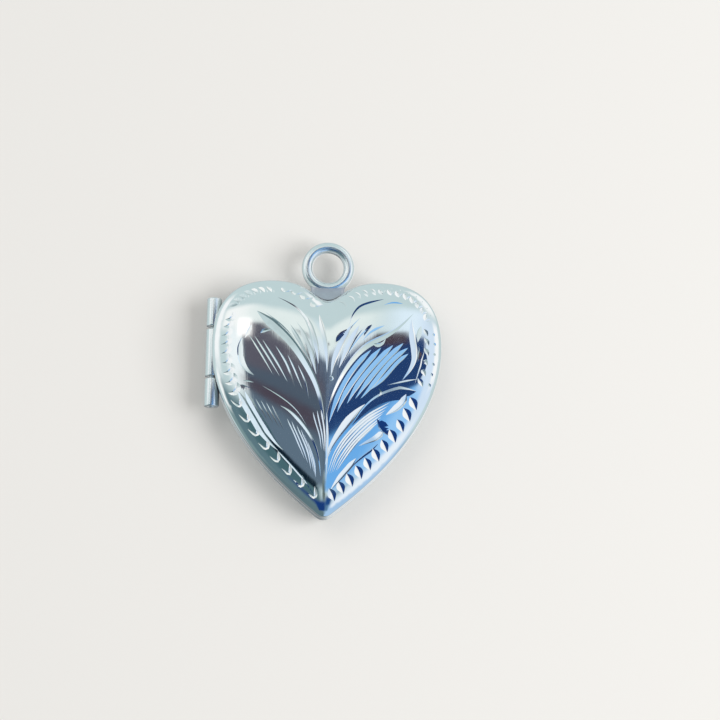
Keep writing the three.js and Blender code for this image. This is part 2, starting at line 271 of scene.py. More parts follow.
class Dome:
    """The crowned face over the heart: its height and slope at any place inside the outline.

    Attributes:
        outline_count: Points of the outline that the dome is measured by.
        nearly_out: Share of the way out from which the slope stays the same.
    """

    outline_count = 2400
    nearly_out = 0.99999

    def __init__(self, heart: HeartShape, rise: float) -> None:
        """Measures the outline as seen from the dome's centre.

        Args:
            heart: The outline.
            rise: Height of the dome over the wall, in mm.
        """
        self.heart = heart
        self.rise = rise
        loop = heart.ring(0, self.outline_count)
        along = np.roll(loop, -1, axis=0) - np.roll(loop, 1, axis=0)
        outwards = unit(np.stack([-along[:, 1], along[:, 0]], axis=1))
        reach, angle = self.sight(loop)
        order = np.argsort(angle)
        turns = (-2 * np.pi, 0, 2 * np.pi)
        self.angle = np.concatenate([angle[order] + turn for turn in turns])
        self.radius = np.tile(np.linalg.norm(reach, axis=1)[order], len(turns))
        self.outwards = np.tile(outwards[order], (len(turns), 1))
        self.pitch = np.tile((outwards * reach).sum(axis=1)[order], len(turns))

    def sight(self, place: np.ndarray) -> tuple[np.ndarray, np.ndarray]:
        """The way to each place from the dome's centre, and its angle from straight up."""
        reach = place - [0, self.heart.centre_z]
        return reach, np.arctan2(reach[:, 0], reach[:, 1])

    def share(self, place: np.ndarray) -> np.ndarray:
        """How far out each place is, from 0 at the dome's centre to 1 at the outline."""
        reach, angle = self.sight(place)
        return np.linalg.norm(reach, axis=1) / np.interp(angle, self.angle, self.radius)

    def depth(self, place: np.ndarray) -> np.ndarray:
        """Distance of the outer face from the meeting plane at each place, in mm."""
        out = np.clip(self.share(place), 0, 1)
        return self.heart.wall + self.rise * np.sqrt(1 - out**self.heart.crown_power)

    def slope(self, place: np.ndarray) -> np.ndarray:
        """How fast that distance changes.

        Args:
            place: The places.

        Returns:
            The change along X and along Z at each place.
        """
        power = self.heart.crown_power
        out = np.clip(self.share(place), 0, self.nearly_out)
        angle = self.sight(place)[1]
        fall = -self.rise * power / 2 * out ** (power - 1) / np.sqrt(1 - out**power)
        fall /= np.interp(angle, self.angle, self.pitch)
        return np.stack([fall * np.interp(angle, self.angle, column) for column in self.outwards.T], axis=1)


# Meshes


@dataclass
class Surface:
    """Points, faces and finish marks of one piece while it is being built, in mm."""

    name: str
    points: list[np.ndarray] = field(default_factory=list)
    faces: list[tuple[int, ...]] = field(default_factory=list)
    count: int = 0
    inside_from: int | None = None

    def add(self, points: np.ndarray) -> np.ndarray:
        """Adds points.

        Args:
            points: Rows of x, y and z.

        Returns:
            Their numbers in the mesh.
        """
        first = self.count
        self.points.append(np.asarray(points, float))
        self.count += len(points)
        return np.arange(first, self.count)

    def bridge(self, here: np.ndarray, there: np.ndarray) -> None:
        """Joins two closed rings of equal count with four-sided faces."""
        turned = np.roll(here, -1), np.roll(there, -1)
        self.faces += [tuple(int(i) for i in face) for face in zip(here, there, turned[1], turned[0])]

    def loft(self, rings: Iterable[np.ndarray], closed: bool = False) -> list[np.ndarray]:
        """Adds rings and joins each to the next.

        Args:
            rings: Points of the rings in order.
            closed: Whether the last ring is joined to the first.

        Returns:
            The numbers of the points of each ring.
        """
        numbers = [self.add(ring) for ring in rings]
        following = numbers[1:] + numbers[:1] if closed else numbers[1:]
        for here, there in zip(numbers, following):
            self.bridge(here, there)
        return numbers

    def fan(self, ring: np.ndarray, hub: Sequence[float], flip: bool = False) -> None:
        """Closes a ring with triangles to one point.

        Args:
            ring: Numbers of the ring's points.
            hub: The point in the middle.
            flip: Whether the faces look the other way.
        """
        middle = int(self.add(np.array([hub]))[0])
        for a, b in zip(ring, np.roll(ring, -1)):
            corners = (int(b), int(a), middle) if flip else (int(a), int(b), middle)
            self.faces.append(corners)

    def to_object(self, crease: float = 35.0) -> bpy.types.Object:
        """Makes the Blender object, with its faces looking outwards.

        Args:
            crease: Angle in degrees from which an edge stays sharp.

        Returns:
            The object, in the scene.
        """
        mesh = bpy.data.meshes.new(self.name)
        places = np.concatenate(self.points) * MM
        mesh.from_pydata(places.tolist(), [], self.faces)
        mesh.validate()
        if looks_inwards(mesh):
            mesh.flip_normals()
        mesh.shade_smooth()
        mesh.set_sharp_from_angle(angle=math.radians(crease))
        if self.inside_from is not None:
            mark_points(mesh, "inside", np.arange(len(mesh.vertices)) >= self.inside_from)
        return put_in_scene(self.name, mesh)


def put_in_scene(name: str, data: bpy.types.ID) -> bpy.types.Object:
    """Makes an object of a mesh, a lamp or a camera.

    Args:
        name: Name of the object.
        data: What it shows.

    Returns:
        The object, in the scene.
    """
    made = bpy.data.objects.new(name, data)
    bpy.context.scene.collection.objects.link(made)
    return made


def point_places(mesh: bpy.types.Mesh) -> np.ndarray:
    """The places of a mesh's points, in metres."""
    return np.array([vertex.co for vertex in mesh.vertices])


def mark_points(mesh: bpy.types.Mesh, label: str, values: np.ndarray) -> None:
    """Writes a number from 0 to 1 on each point of a mesh, which the finishes read by its label."""
    mesh.attributes.new(label, "FLOAT", "POINT").data.foreach_set("value", values.astype(np.float32))


def looks_inwards(mesh: bpy.types.Mesh) -> bool:
    """Whether the faces of a closed mesh look inwards.

    Args:
        mesh: The mesh.

    Returns:
        True if the volume that they close comes out below zero.
    """
    mesh.calc_loop_triangles()
    corners = np.array([triangle.vertices for triangle in mesh.loop_triangles])
    a, b, c = point_places(mesh)[corners].transpose(1, 0, 2)
    return bool((a * np.cross(b, c)).sum() < 0)


def cover_with(made: bpy.types.Object, material: bpy.types.Material) -> None:
    """Makes a material the only one of an object."""
    made.data.materials.clear()
    made.data.materials.append(material)


def dress(made: bpy.types.Object, body: str, material: bpy.types.Material, node: str) -> None:
    """Gives a piece its material, its body and the CAD node it stands for.

    Args:
        made: The piece.
        body: The CAD body it moves with.
        material: Its Blender material.
        node: The CAD node it replaces.
    """
    cover_with(made, material)
    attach(made, body)
    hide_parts(node)
    LOG.info("%s: %d faces on %s", made.name, len(made.data.polygons), body)


# Engraving


@dataclass(frozen=True)
class Graver:
    """How one kind of cut is held.

    Attributes:
        fall: Depth of the cut as a share of half its width.
        lean: Which wall is steep, from -1 to 1, with 1 the one on the left of the stroke's travel.
        lead: Share of the length over which the cut opens.
        run: Share of the length over which it closes.
    """

    fall: float
    lean: float
    lead: float = 0.3
    run: float = 0.45

    def flipped(self) -> "Graver":
        """The same graver leaning to the other side."""
        return replace(self, lean=-self.lean)


EDGE = Graver(fall=0.3, lean=0.6, lead=0.25, run=0.9)
MAIN_VEIN = replace(EDGE, fall=0.46, lead=0.12)
SIDE_VEIN = replace(EDGE, fall=0.44)
INNER_VEIN = replace(EDGE.flipped(), fall=0.5)
RIGHT_VEIN = replace(EDGE.flipped(), lead=0.4, run=0.7)
CURL = replace(EDGE, run=0.5)
BRIGHT = Graver(fall=0.56, lean=0.6, lead=0.3, run=0.6)
DEEP_NICK = replace(BRIGHT, fall=0.8)
SOFT_NICK = replace(BRIGHT, fall=0.48)
STRIPE = Graver(fall=0.34, lean=0.66, lead=0.14, run=0.28)
HATCH = Graver(fall=0.3, lean=0.4, lead=0.3, run=0.45)
SHALLOW = Graver(fall=0.16, lean=0.6, lead=0.25, run=0.4)
SWEEP = replace(SHALLOW.flipped(), fall=0.1, lead=0.2, run=0.8)
SHADOW = Graver(fall=0.27, lean=-0.6, lead=0.3, run=0.4)
FAINT_SHADOW = replace(SHADOW, fall=0.2)
HAIR = Graver(fall=0.4, lean=0.3)
SHADE = Graver(fall=0.55, lean=-0.4)
RIDGE = Graver(fall=0.78, lean=0.6, lead=0.15, run=0.4)
PALE = Graver(fall=0.62, lean=0.55, lead=0.2, run=0.4)
PALE_VEIN = replace(PALE, lead=0.3, run=0.6)
PALE_POINT = replace(PALE, lead=0.12, run=0.7)
DARK_PATCH = Graver(fall=0.74, lean=-0.8, lead=0.4, run=0.4)
PECK = Graver(fall=0.5, lean=-0.5, lead=0.3, run=0.35)
SPOON = Graver(fall=0.4, lean=-0.58, lead=0.3, run=0.4)
CROOK = Graver(fall=0.56, lean=-0.3, lead=0.25, run=0.45)
WEDGE = Graver(fall=0.42, lean=0.1, lead=0.35, run=0.45)


@dataclass(frozen=True)
class Stroke:
    """One cut of the graver, drawn on the picture plane in mm from the centre of the ring."""

    points: tuple[Point, ...]
    width: float
    graver: Graver = STRIPE


@dataclass(frozen=True)
class Fan:
    """A spread of side-by-side cuts between a few drawn ones."""

    keys: tuple[tuple[Point, ...], ...]
    count: int
    width: float
    graver: Graver = HAIR
    stray: float = 0.04
    width_stray: Point = (0.85, 1.15)

    def strokes(self, hand: np.random.Generator) -> list[Stroke]:
        """The cuts of the spread, each a little off as by hand.

        Args:
            hand: Source of the small errors.

        Returns:
            The strokes from the first key to the last.
        """
        keys = np.array(self.keys, float)
        made = []
        for place in np.linspace(0, len(keys) - 1, self.count):
            low = min(int(place), len(keys) - 2)
            line = keys[low] + (place - low) * (keys[low + 1] - keys[low])
            line = line + hand.uniform(-self.stray, self.stray, line.shape)
            width = self.width * hand.uniform(*self.width_stray)
            made.append(Stroke(tuple(map(tuple, line.tolist())), width, self.graver))
        return made


UPPER_LEFT_LEAF = (
    Stroke(
        ((-6.1, -4.0), (-5.6, -4.45), (-4.75, -5.05), (-4.1, -5.6), (-3.45, -6.2), (-2.85, -6.85),
         (-2.4, -7.5), (-1.95, -8.2), (-1.5, -8.9), (-1.1, -9.65), (-0.75, -10.4), (-0.5, -11.2),
         (-0.3, -12.2), (-0.1, -13.3), (0.05, -14.8)),
        0.86, MAIN_VEIN,
    ),
    Stroke(
        ((-5.4, -4.05), (-4.7, -4.6), (-4.0, -5.15), (-3.3, -5.8), (-2.7, -6.5)),
        0.15, HAIR.flipped(),
    ),
    Stroke(
        ((-7.3, -6.3), (-7.45, -6.95), (-7.45, -7.75), (-7.25, -8.5), (-6.8, -9.15), (-6.2, -9.6)),
        0.5, SHALLOW.flipped(),
    ),
    Stroke(((-6.5, -5.2), (-6.75, -5.8), (-7.1, -6.4)), 0.3, SHADOW),
    Stroke(((-5.75, -5.95), (-5.5, -5.74), (-5.1, -5.62), (-4.7, -5.6)), 0.34, DEEP_NICK),
    Stroke(((-7.15, -10.1), (-6.7, -10.1), (-6.2, -10.22)), 0.14, HAIR),
    Stroke(((-6.8, -6.05), (-6.25, -6.8), (-5.47, -8.0), (-4.57, -9.5)), 0.17, HATCH),
    Stroke(((-6.26, -6.16), (-5.14, -7.77), (-4.0, -9.6)), 0.19, HATCH),
    Stroke(((-5.55, -6.5), (-4.26, -8.4), (-3.3, -10.1)), 0.2, HATCH),
    Stroke(((-4.4, -7.0), (-3.38, -8.6), (-2.65, -10.6)), 0.2, HATCH),
    Stroke(((-3.35, -7.75), (-2.72, -9.0), (-2.0, -10.7)), 0.17, HATCH),
    Stroke(((-2.45, -8.6), (-1.83, -9.9), (-1.45, -11.5)), 0.15, HATCH),
)
LOWER_LEFT_LEAF = (
    Stroke(
        ((-3.9, -12.15), (-3.4, -12.3), (-2.9, -12.65), (-2.35, -13.2), (-1.8, -13.85), (-1.3, -14.5),
         (-0.9, -15.2), (-0.55, -16.0), (-0.4, -16.8), (-0.3, -18.1)),
        0.36, SIDE_VEIN,
    ),
    Stroke(
        ((-5.45, -10.5), (-4.65, -10.85), (-3.75, -11.45), (-3.05, -11.9), (-2.5, -12.4),
         (-1.95, -13.05), (-1.6, -13.8)),
        0.11, HAIR,
    ),
    Stroke(((-7.4, -10.45), (-7.0, -10.7), (-6.5, -10.75)), 0.4, SHALLOW),
    Stroke(
        ((-7.55, -11.0), (-6.95, -12.1), (-6.2, -13.3), (-5.5, -14.4), (-4.75, -15.3), (-4.0, -16.0)),
        0.56, RIDGE,
    ),
    Stroke(
        ((-6.95, -11.0), (-6.4, -12.0), (-5.75, -13.1), (-4.95, -14.3), (-4.2, -15.3), (-3.55, -15.95)),
        0.56, RIDGE,
    ),
    Stroke(
        ((-4.05, -16.0), (-3.15, -16.9), (-2.3, -17.8), (-1.55, -18.65), (-0.85, -19.7)),
        0.17, RIDGE,
    ),
)
LOWER_LEFT_HATCH = (
    Fan(
        (((-6.0, -11.6), (-5.4, -12.6), (-4.9, -13.5)), ((-4.6, -12.1), (-4.1, -13.1), (-3.5, -14.3))),
        count=4, width=0.11,
    ),
    Fan(
        (
            ((-3.3, -13.2), (-2.7, -14.3), (-2.2, -15.4), (-1.7, -16.6)),
            ((-2.2, -13.9), (-1.65, -15.1), (-1.2, -16.3), (-0.95, -17.7)),
            ((-1.5, -15.0), (-1.15, -16.0), (-0.85, -17.0), (-0.7, -18.2)),
        ),
        count=6, width=0.17, graver=RIDGE,
    ),
    Fan(
        (
            ((-1.1, -12.6), (-0.75, -13.6), (-0.45, -14.6), (-0.25, -15.8)),
            ((-0.35, -12.4), (-0.15, -13.5), (0.0, -14.6), (0.05, -16.0)),
        ),
        count=3, width=0.18, graver=RIDGE,
    ),
)
INNER_LEFT_LEAF = (
    Stroke(
        ((-4.35, -2.75), (-3.55, -3.1), (-2.7, -3.5), (-1.95, -4.15), (-1.65, -4.8), (-1.3, -5.6),
         (-1.05, -6.5), (-0.85, -7.4)),
        0.2, HAIR.flipped(),
    ),
    Stroke(((-3.14, -5.4), (-2.6, -6.2), (-2.06, -7.1), (-1.5, -8.1), (-1.2, -8.8)), 0.36, INNER_VEIN),
    Stroke(((-2.45, -5.1), (-1.85, -6.3), (-1.3, -7.6), (-0.85, -9.4)), 0.4, PALE),
    Stroke(((-1.75, -4.4), (-1.2, -5.8), (-0.85, -7.1), (-0.68, -8.5)), 0.42, PALE),
    Stroke(((-3.1, -3.4), (-2.2, -4.2), (-1.6, -5.3), (-1.2, -6.9), (-0.9, -8.1)), 0.17, SHADE),
    Stroke(((-2.6, -4.9), (-2.2, -5.6), (-1.67, -6.95), (-1.2, -8.6)), 0.17, SHADE),
    Stroke(((-3.2, -5.1), (-2.7, -5.8), (-2.2, -6.65), (-1.3, -8.6)), 0.15, SHADE),
)
CENTRE_SPEAR = (
    Stroke(((-0.7, -4.2), (-0.4, -5.4), (-0.08, -6.8), (0.05, -7.9), (0.07, -9.2)), 0.4, PALE),
    Stroke(((0.8, -6.55), (1.2, -6.0), (1.75, -5.4)), 0.5, SHALLOW.flipped()),
    Stroke(((0.3, -9.6), (0.45, -9.45), (0.6, -9.65), (0.5, -9.9), (0.3, -9.8)), 0.14, HAIR),
    Stroke(((0.1, -12.6), (0.18, -14.0), (0.2, -16.0), (0.16, -18.6)), 0.22, HAIR),
)
INNER_RIGHT_LEAF = (
    Stroke(
        ((2.1, -5.05), (1.85, -5.5), (1.45, -6.2), (1.0, -7.2), (0.62, -8.3), (0.42, -9.5)),
        0.5, PALE,
    ),
    Stroke(((2.8, -5.05), (2.25, -6.1), (1.8, -7.05), (1.42, -7.95), (1.1, -8.8)), 0.42, PALE),
    Stroke(((3.1, -5.35), (2.6, -6.05), (2.1, -6.95), (1.7, -7.8), (1.3, -8.65)), 0.14, SHALLOW),
    Stroke(((3.9, -4.95), (3.5, -5.4), (3.2, -5.95)), 0.3, SHALLOW),
    Stroke(((2.86, -4.4), (2.15, -5.2), (1.6, -6.3), (1.2, -7.4), (0.95, -8.6)), 0.12, HAIR),
    Stroke(((4.0, -5.0), (3.3, -5.55), (2.67, -6.32), (2.0, -7.3), (1.5, -8.1)), 0.14, HAIR),
    Stroke(((5.0, -5.0), (4.15, -5.4), (3.6, -5.8), (3.1, -6.4)), 0.24, BRIGHT),
    Stroke(
        ((4.9, -2.7), (3.85, -3.0), (3.05, -3.3), (2.6, -3.65), (2.2, -4.25), (1.95, -5.0)),
        0.28, HAIR,
    ),
    Stroke(((6.6, -3.05), (5.7, -3.0), (4.9, -3.2)), 0.18, HAIR),
)
UPPER_RIGHT_LEAF = (
    Stroke(
        ((7.5, -3.9), (6.7, -4.8), (5.8, -5.6), (5.0, -6.05), (4.15, -6.35), (3.45, -6.7), (2.8, -7.35),
         (2.2, -8.05), (1.7, -8.85), (1.28, -9.55), (0.88, -10.3), (0.53, -11.2), (0.25, -12.1),
         (0.1, -13.0)),
        0.58, RIGHT_VEIN,
    ),
    Stroke(((3.95, -6.6), (4.4, -6.74), (4.85, -6.55), (5.1, -6.15)), 0.36, SOFT_NICK),
    Stroke(
        ((3.85, -7.15), (3.2, -7.75), (2.53, -8.55), (1.96, -9.35), (1.5, -10.2), (1.0, -11.2),
         (0.64, -12.2), (0.33, -13.5)),
        0.42,
    ),
    Stroke(
        ((4.7, -6.95), (3.9, -7.85), (3.22, -8.65), (2.65, -9.5), (2.02, -10.3), (1.56, -11.1),
         (1.22, -11.9), (1.0, -12.6)),
        0.44,
    ),
    Stroke(
        ((5.75, -6.7), (5.17, -7.25), (4.6, -7.9), (3.9, -8.65), (3.22, -9.5), (2.6, -10.35),
         (2.2, -11.1), (1.85, -11.85)),
        0.44,
    ),
    Stroke(
        ((6.65, -6.5), (6.15, -6.95), (5.5, -7.55), (4.9, -8.25), (4.25, -9.0), (3.55, -9.9),
         (3.0, -10.75), (2.55, -11.4)),
        0.42,
    ),
    Stroke(
        ((7.05, -6.9), (6.43, -7.3), (5.86, -7.8), (5.3, -8.45), (4.7, -9.2), (4.15, -10.0),
         (3.6, -10.75), (3.0, -11.4)),
        0.4,
    ),
    Stroke(
        ((7.1, -7.4), (6.55, -7.75), (6.04, -8.2), (5.6, -8.85), (5.05, -9.55), (4.5, -10.1),
         (3.85, -10.6)),
        0.32,
    ),
    Stroke(
        ((7.35, -4.4), (7.3, -5.2), (7.35, -6.1), (7.68, -7.2), (7.82, -7.9), (7.44, -8.8),
         (6.6, -9.7)),
        0.56, CURL,
    ),
    Stroke(((8.2, -4.95), (8.05, -5.5), (7.95, -6.0), (7.9, -6.4)), 0.42, SHADOW),
    Stroke(((8.0, -6.7), (8.15, -7.1), (8.05, -7.6), (7.95, -8.1)), 0.34, SHADOW),
    Stroke(((8.55, -7.0), (8.5, -7.8), (8.35, -8.6), (8.05, -9.3), (7.7, -10.0)), 0.55, FAINT_SHADOW),
)
LOWER_RIGHT_LEAF = (
    Stroke(
        ((3.4, -11.85), (2.95, -12.2), (2.45, -12.65), (1.9, -13.35), (1.4, -14.05), (0.9, -14.8),
         (0.45, -15.55), (0.15, -16.35), (0.08, -17.1)),
        0.66, PALE_VEIN,
    ),
    Stroke(((7.85, -9.6), (7.0, -9.75), (6.15, -9.95), (5.3, -10.15)), 0.14, HAIR),
    Stroke(
        ((7.8, -10.65), (6.9, -10.75), (6.0, -10.85), (5.1, -11.1), (4.3, -11.5), (3.7, -11.95),
         (3.2, -12.5), (2.75, -13.1), (2.3, -13.7)),
        1.2, SWEEP,
    ),
    Stroke(((4.55, -10.45), (4.78, -10.85), (4.5, -11.25), (4.05, -11.4)), 0.2, BRIGHT.flipped()),
    Stroke(((6.95, -10.9), (6.65, -11.55), (6.1, -12.1), (5.2, -12.75)), 0.56, PALE),
    Stroke(((4.45, -13.1), (5.0, -13.75), (5.5, -14.5)), 0.82, DARK_PATCH),
    Stroke(((5.0, -14.15), (4.4, -14.7), (3.6, -15.1), (2.9, -15.45)), 0.5, PALE_POINT),
    Stroke(((2.7, -16.5), (2.0, -17.35), (1.3, -18.2), (0.55, -19.25)), 0.44, PALE),
    Stroke(
        ((4.6, -15.2), (4.0, -15.8), (3.35, -16.3), (2.55, -17.0), (2.0, -17.7), (1.42, -18.4)),
        0.24, EDGE.flipped(),
    ),
)
LOWER_RIGHT_HATCH = (
    Fan(
        (
            ((5.61, -11.6), (3.56, -12.84), (1.96, -14.4), (0.9, -16.05), (0.28, -17.9)),
            ((4.6, -13.3), (3.55, -14.35), (2.55, -15.4), (1.6, -16.7), (1.1, -17.6)),
        ),
        count=6, width=0.19, graver=PALE,
    ),
)
LEAVES = (
    UPPER_LEFT_LEAF,
    LOWER_LEFT_LEAF,
    INNER_LEFT_LEAF,
    CENTRE_SPEAR,
    INNER_RIGHT_LEAF,
    UPPER_RIGHT_LEAF,
    LOWER_RIGHT_LEAF,
)
HATCHING = LOWER_LEFT_HATCH + LOWER_RIGHT_HATCH
COMMA = (
    Stroke(((-0.4, 0.24), (-0.06, 0.1), (0.32, -0.2)), 0.4, PECK),
    Stroke(((0.36, 0.06), (0.47, -0.12), (0.44, -0.32)), 0.13, HAIR),
)
LOW_COMMA = (Stroke(COMMA[0].points, 0.4, PECK.flipped()),)
TAILED_COMMA = (
    Stroke(((-0.3, 0.24), (-0.12, 0.04), (0.08, -0.2)), 0.5, PECK),
    Stroke(((0.14, -0.16), (0.4, -0.14), (0.8, 0.06)), 0.26, PECK.flipped()),
)
FORK = (
    Stroke(((-0.3, 0.34), (-0.16, 0.02), (0.08, -0.28)), 0.38, PECK.flipped()),
    Stroke(((0.34, 0.22), (0.2, 0.0), (0.14, -0.2)), 0.2, PECK.flipped()),
    Stroke(((0.02, 0.56), (0.12, 0.44)), 0.14, HAIR),
)
CRESCENT = (
    Stroke(((0.26, 0.4), (0.35, 0.1), (0.26, -0.16), (0.02, -0.32), (-0.32, -0.3)), 0.42, SPOON),
)
HOOK = (
    Stroke(
        ((0.26, 0.66), (0.35, 0.14), (0.3, -0.24), (0.08, -0.22), (-0.24, 0.02), (-0.52, 0.26)),
        0.31, CROOK,
    ),
)
TICK = (
    Stroke(((-0.3, 0.28), (-0.1, 0.02), (0.02, -0.26)), 0.34, WEDGE),
    Stroke(((0.4, 0.0), (0.5, -0.22)), 0.2, WEDGE),
)
BAR = (
    Stroke(((-0.32, 0.54), (-0.08, 0.12), (0.22, -0.54)), 0.76, WEDGE),
)


@dataclass(frozen=True)
class Row:
    """A run of equal marks along the border.

    Attributes:
        side: 1 for the right side of the heart and -1 for the left.
        span: Where it starts and ends, as shares of the way from the cleft to the tip.
        pitch: Spacing of the first and the last marks in mm.
        size: Size of the first and the last marks.
        inset: How far inside the outline the marks are centred, in mm.
        mark: The strokes of one mark, in mm about its middle.
        turn: Turn of the first and the last marks in degrees.
    """

    side: int
    span: Point
    pitch: Point
    size: Point
    inset: float
    mark: tuple[Stroke, ...]
    turn: Point = (0.0, 0.0)

    def between(self, share: float, ends: Point) -> float:
        """The value at a share of the way to the tip, from those of the first and the last marks."""
        return float(np.interp(share, self.span, ends))


BORDER = (
    Row(-1, (0.022, 0.15), (1.1, 1.2), (1.0, 1.0), 1.0, TAILED_COMMA),
    Row(-1, (0.17, 0.325), (0.72, 0.78), (0.95, 0.95), 1.0, COMMA, (-15.0, 42.0)),
    Row(-1, (0.345, 0.585), (0.86, 1.02), (1.1, 1.25), 1.15, CRESCENT),
    Row(-1, (0.612, 0.96), (1.55, 1.5), (1.0, 0.9), 0.98, HOOK),
    Row(1, (0.025, 0.13), (0.85, 0.85), (1.0, 1.0), 1.0, LOW_COMMA, (-10.0, -20.0)),
    Row(1, (0.155, 0.36), (0.86, 0.86), (1.0, 1.0), 1.0, FORK, (0.0, -50.0)),
    Row(1, (0.385, 0.565), (0.98, 1.06), (1.25, 1.35), 1.2, TICK),
    Row(1, (0.605, 0.975), (1.24, 0.98), (1.0, 1.05), 1.2, BAR),
)


class Cut:
    """A stroke laid on the heart: its floor, its two edges and its depth.

    Attributes:
        swell: Power by which a cut opens and closes, where 1 is evenly.
        thinnest: Share of its width that is left at its ends.
        left: Direction to the left of its travel at each point.
        floor: Places along its deepest line.
        to_left: Distance from there to its left edge.
        to_right: Distance from there to its right edge.
        deep: Depth of its floor.
        lines: Its left edge, floor and right edge.
    """

    swell = 0.8
    thinnest = 0.02

    def __init__(self, line: np.ndarray, width: float, graver: Graver) -> None:
        """Works out the edges of the cut.

        Args:
            line: Evenly spaced places along the middle of the cut.
            width: Width of the cut at its widest.
            graver: The depth, lean and taper of the cut.
        """
        share = np.linspace(0, 1, len(line))
        opening = np.clip(share / graver.lead, 0, 1) ** self.swell
        closing = np.clip((1 - share) / graver.run, 0, 1) ** self.swell
        half = width / 2 * np.maximum(opening * closing, self.thinnest)
        self.left = left_of(line)
        self.floor = line + self.left * (half * graver.lean)[:, None]
        self.to_left = half * (1 - graver.lean)
        self.to_right = half * (1 + graver.lean)
        self.deep = half * graver.fall
        left_edge = self.floor + self.left * self.to_left[:, None]
        right_edge = self.floor - self.left * self.to_right[:, None]
        self.lines = [left_edge, self.floor, right_edge]

    def measure(self, places: np.ndarray) -> tuple[np.ndarray, np.ndarray]:
        """Depth of the cut below the face, and how that depth changes, at each place.

        Args:
            places: The places.

        Returns:
            The depths, zero outside the cut, and their slopes along X and Z.
        """
        start, step = self.floor[:-1], np.diff(self.floor, axis=0)
        away = places[:, None, :] - start[None]
        share = np.clip((away * step).sum(axis=2) / (step**2).sum(axis=1), 0, 1)
        gap = away - share[..., None] * step
        nearest = np.argmin((gap**2).sum(axis=2), axis=1)
        row = np.arange(len(places))
        part, gap = share[row, nearest], gap[row, nearest]

        def beside(values: np.ndarray) -> np.ndarray:
            """Values of the cut at the point of its floor nearest to each place."""
            weight = part.reshape(-1, *[1] * (values.ndim - 1))
            return values[nearest] + weight * (values[nearest + 1] - values[nearest])

        left, deep = beside(self.left), beside(self.deep)
        offset = (gap * left).sum(axis=1)
        stray = np.linalg.norm(gap, axis=1)
        half = np.where(offset > 0, beside(self.to_left), beside(self.to_right))
        depth = np.where(stray < half, deep * (1 - stray / half), 0)
        tilt = -np.sign(offset) * deep / half
        return depth, tilt[:, None] * left


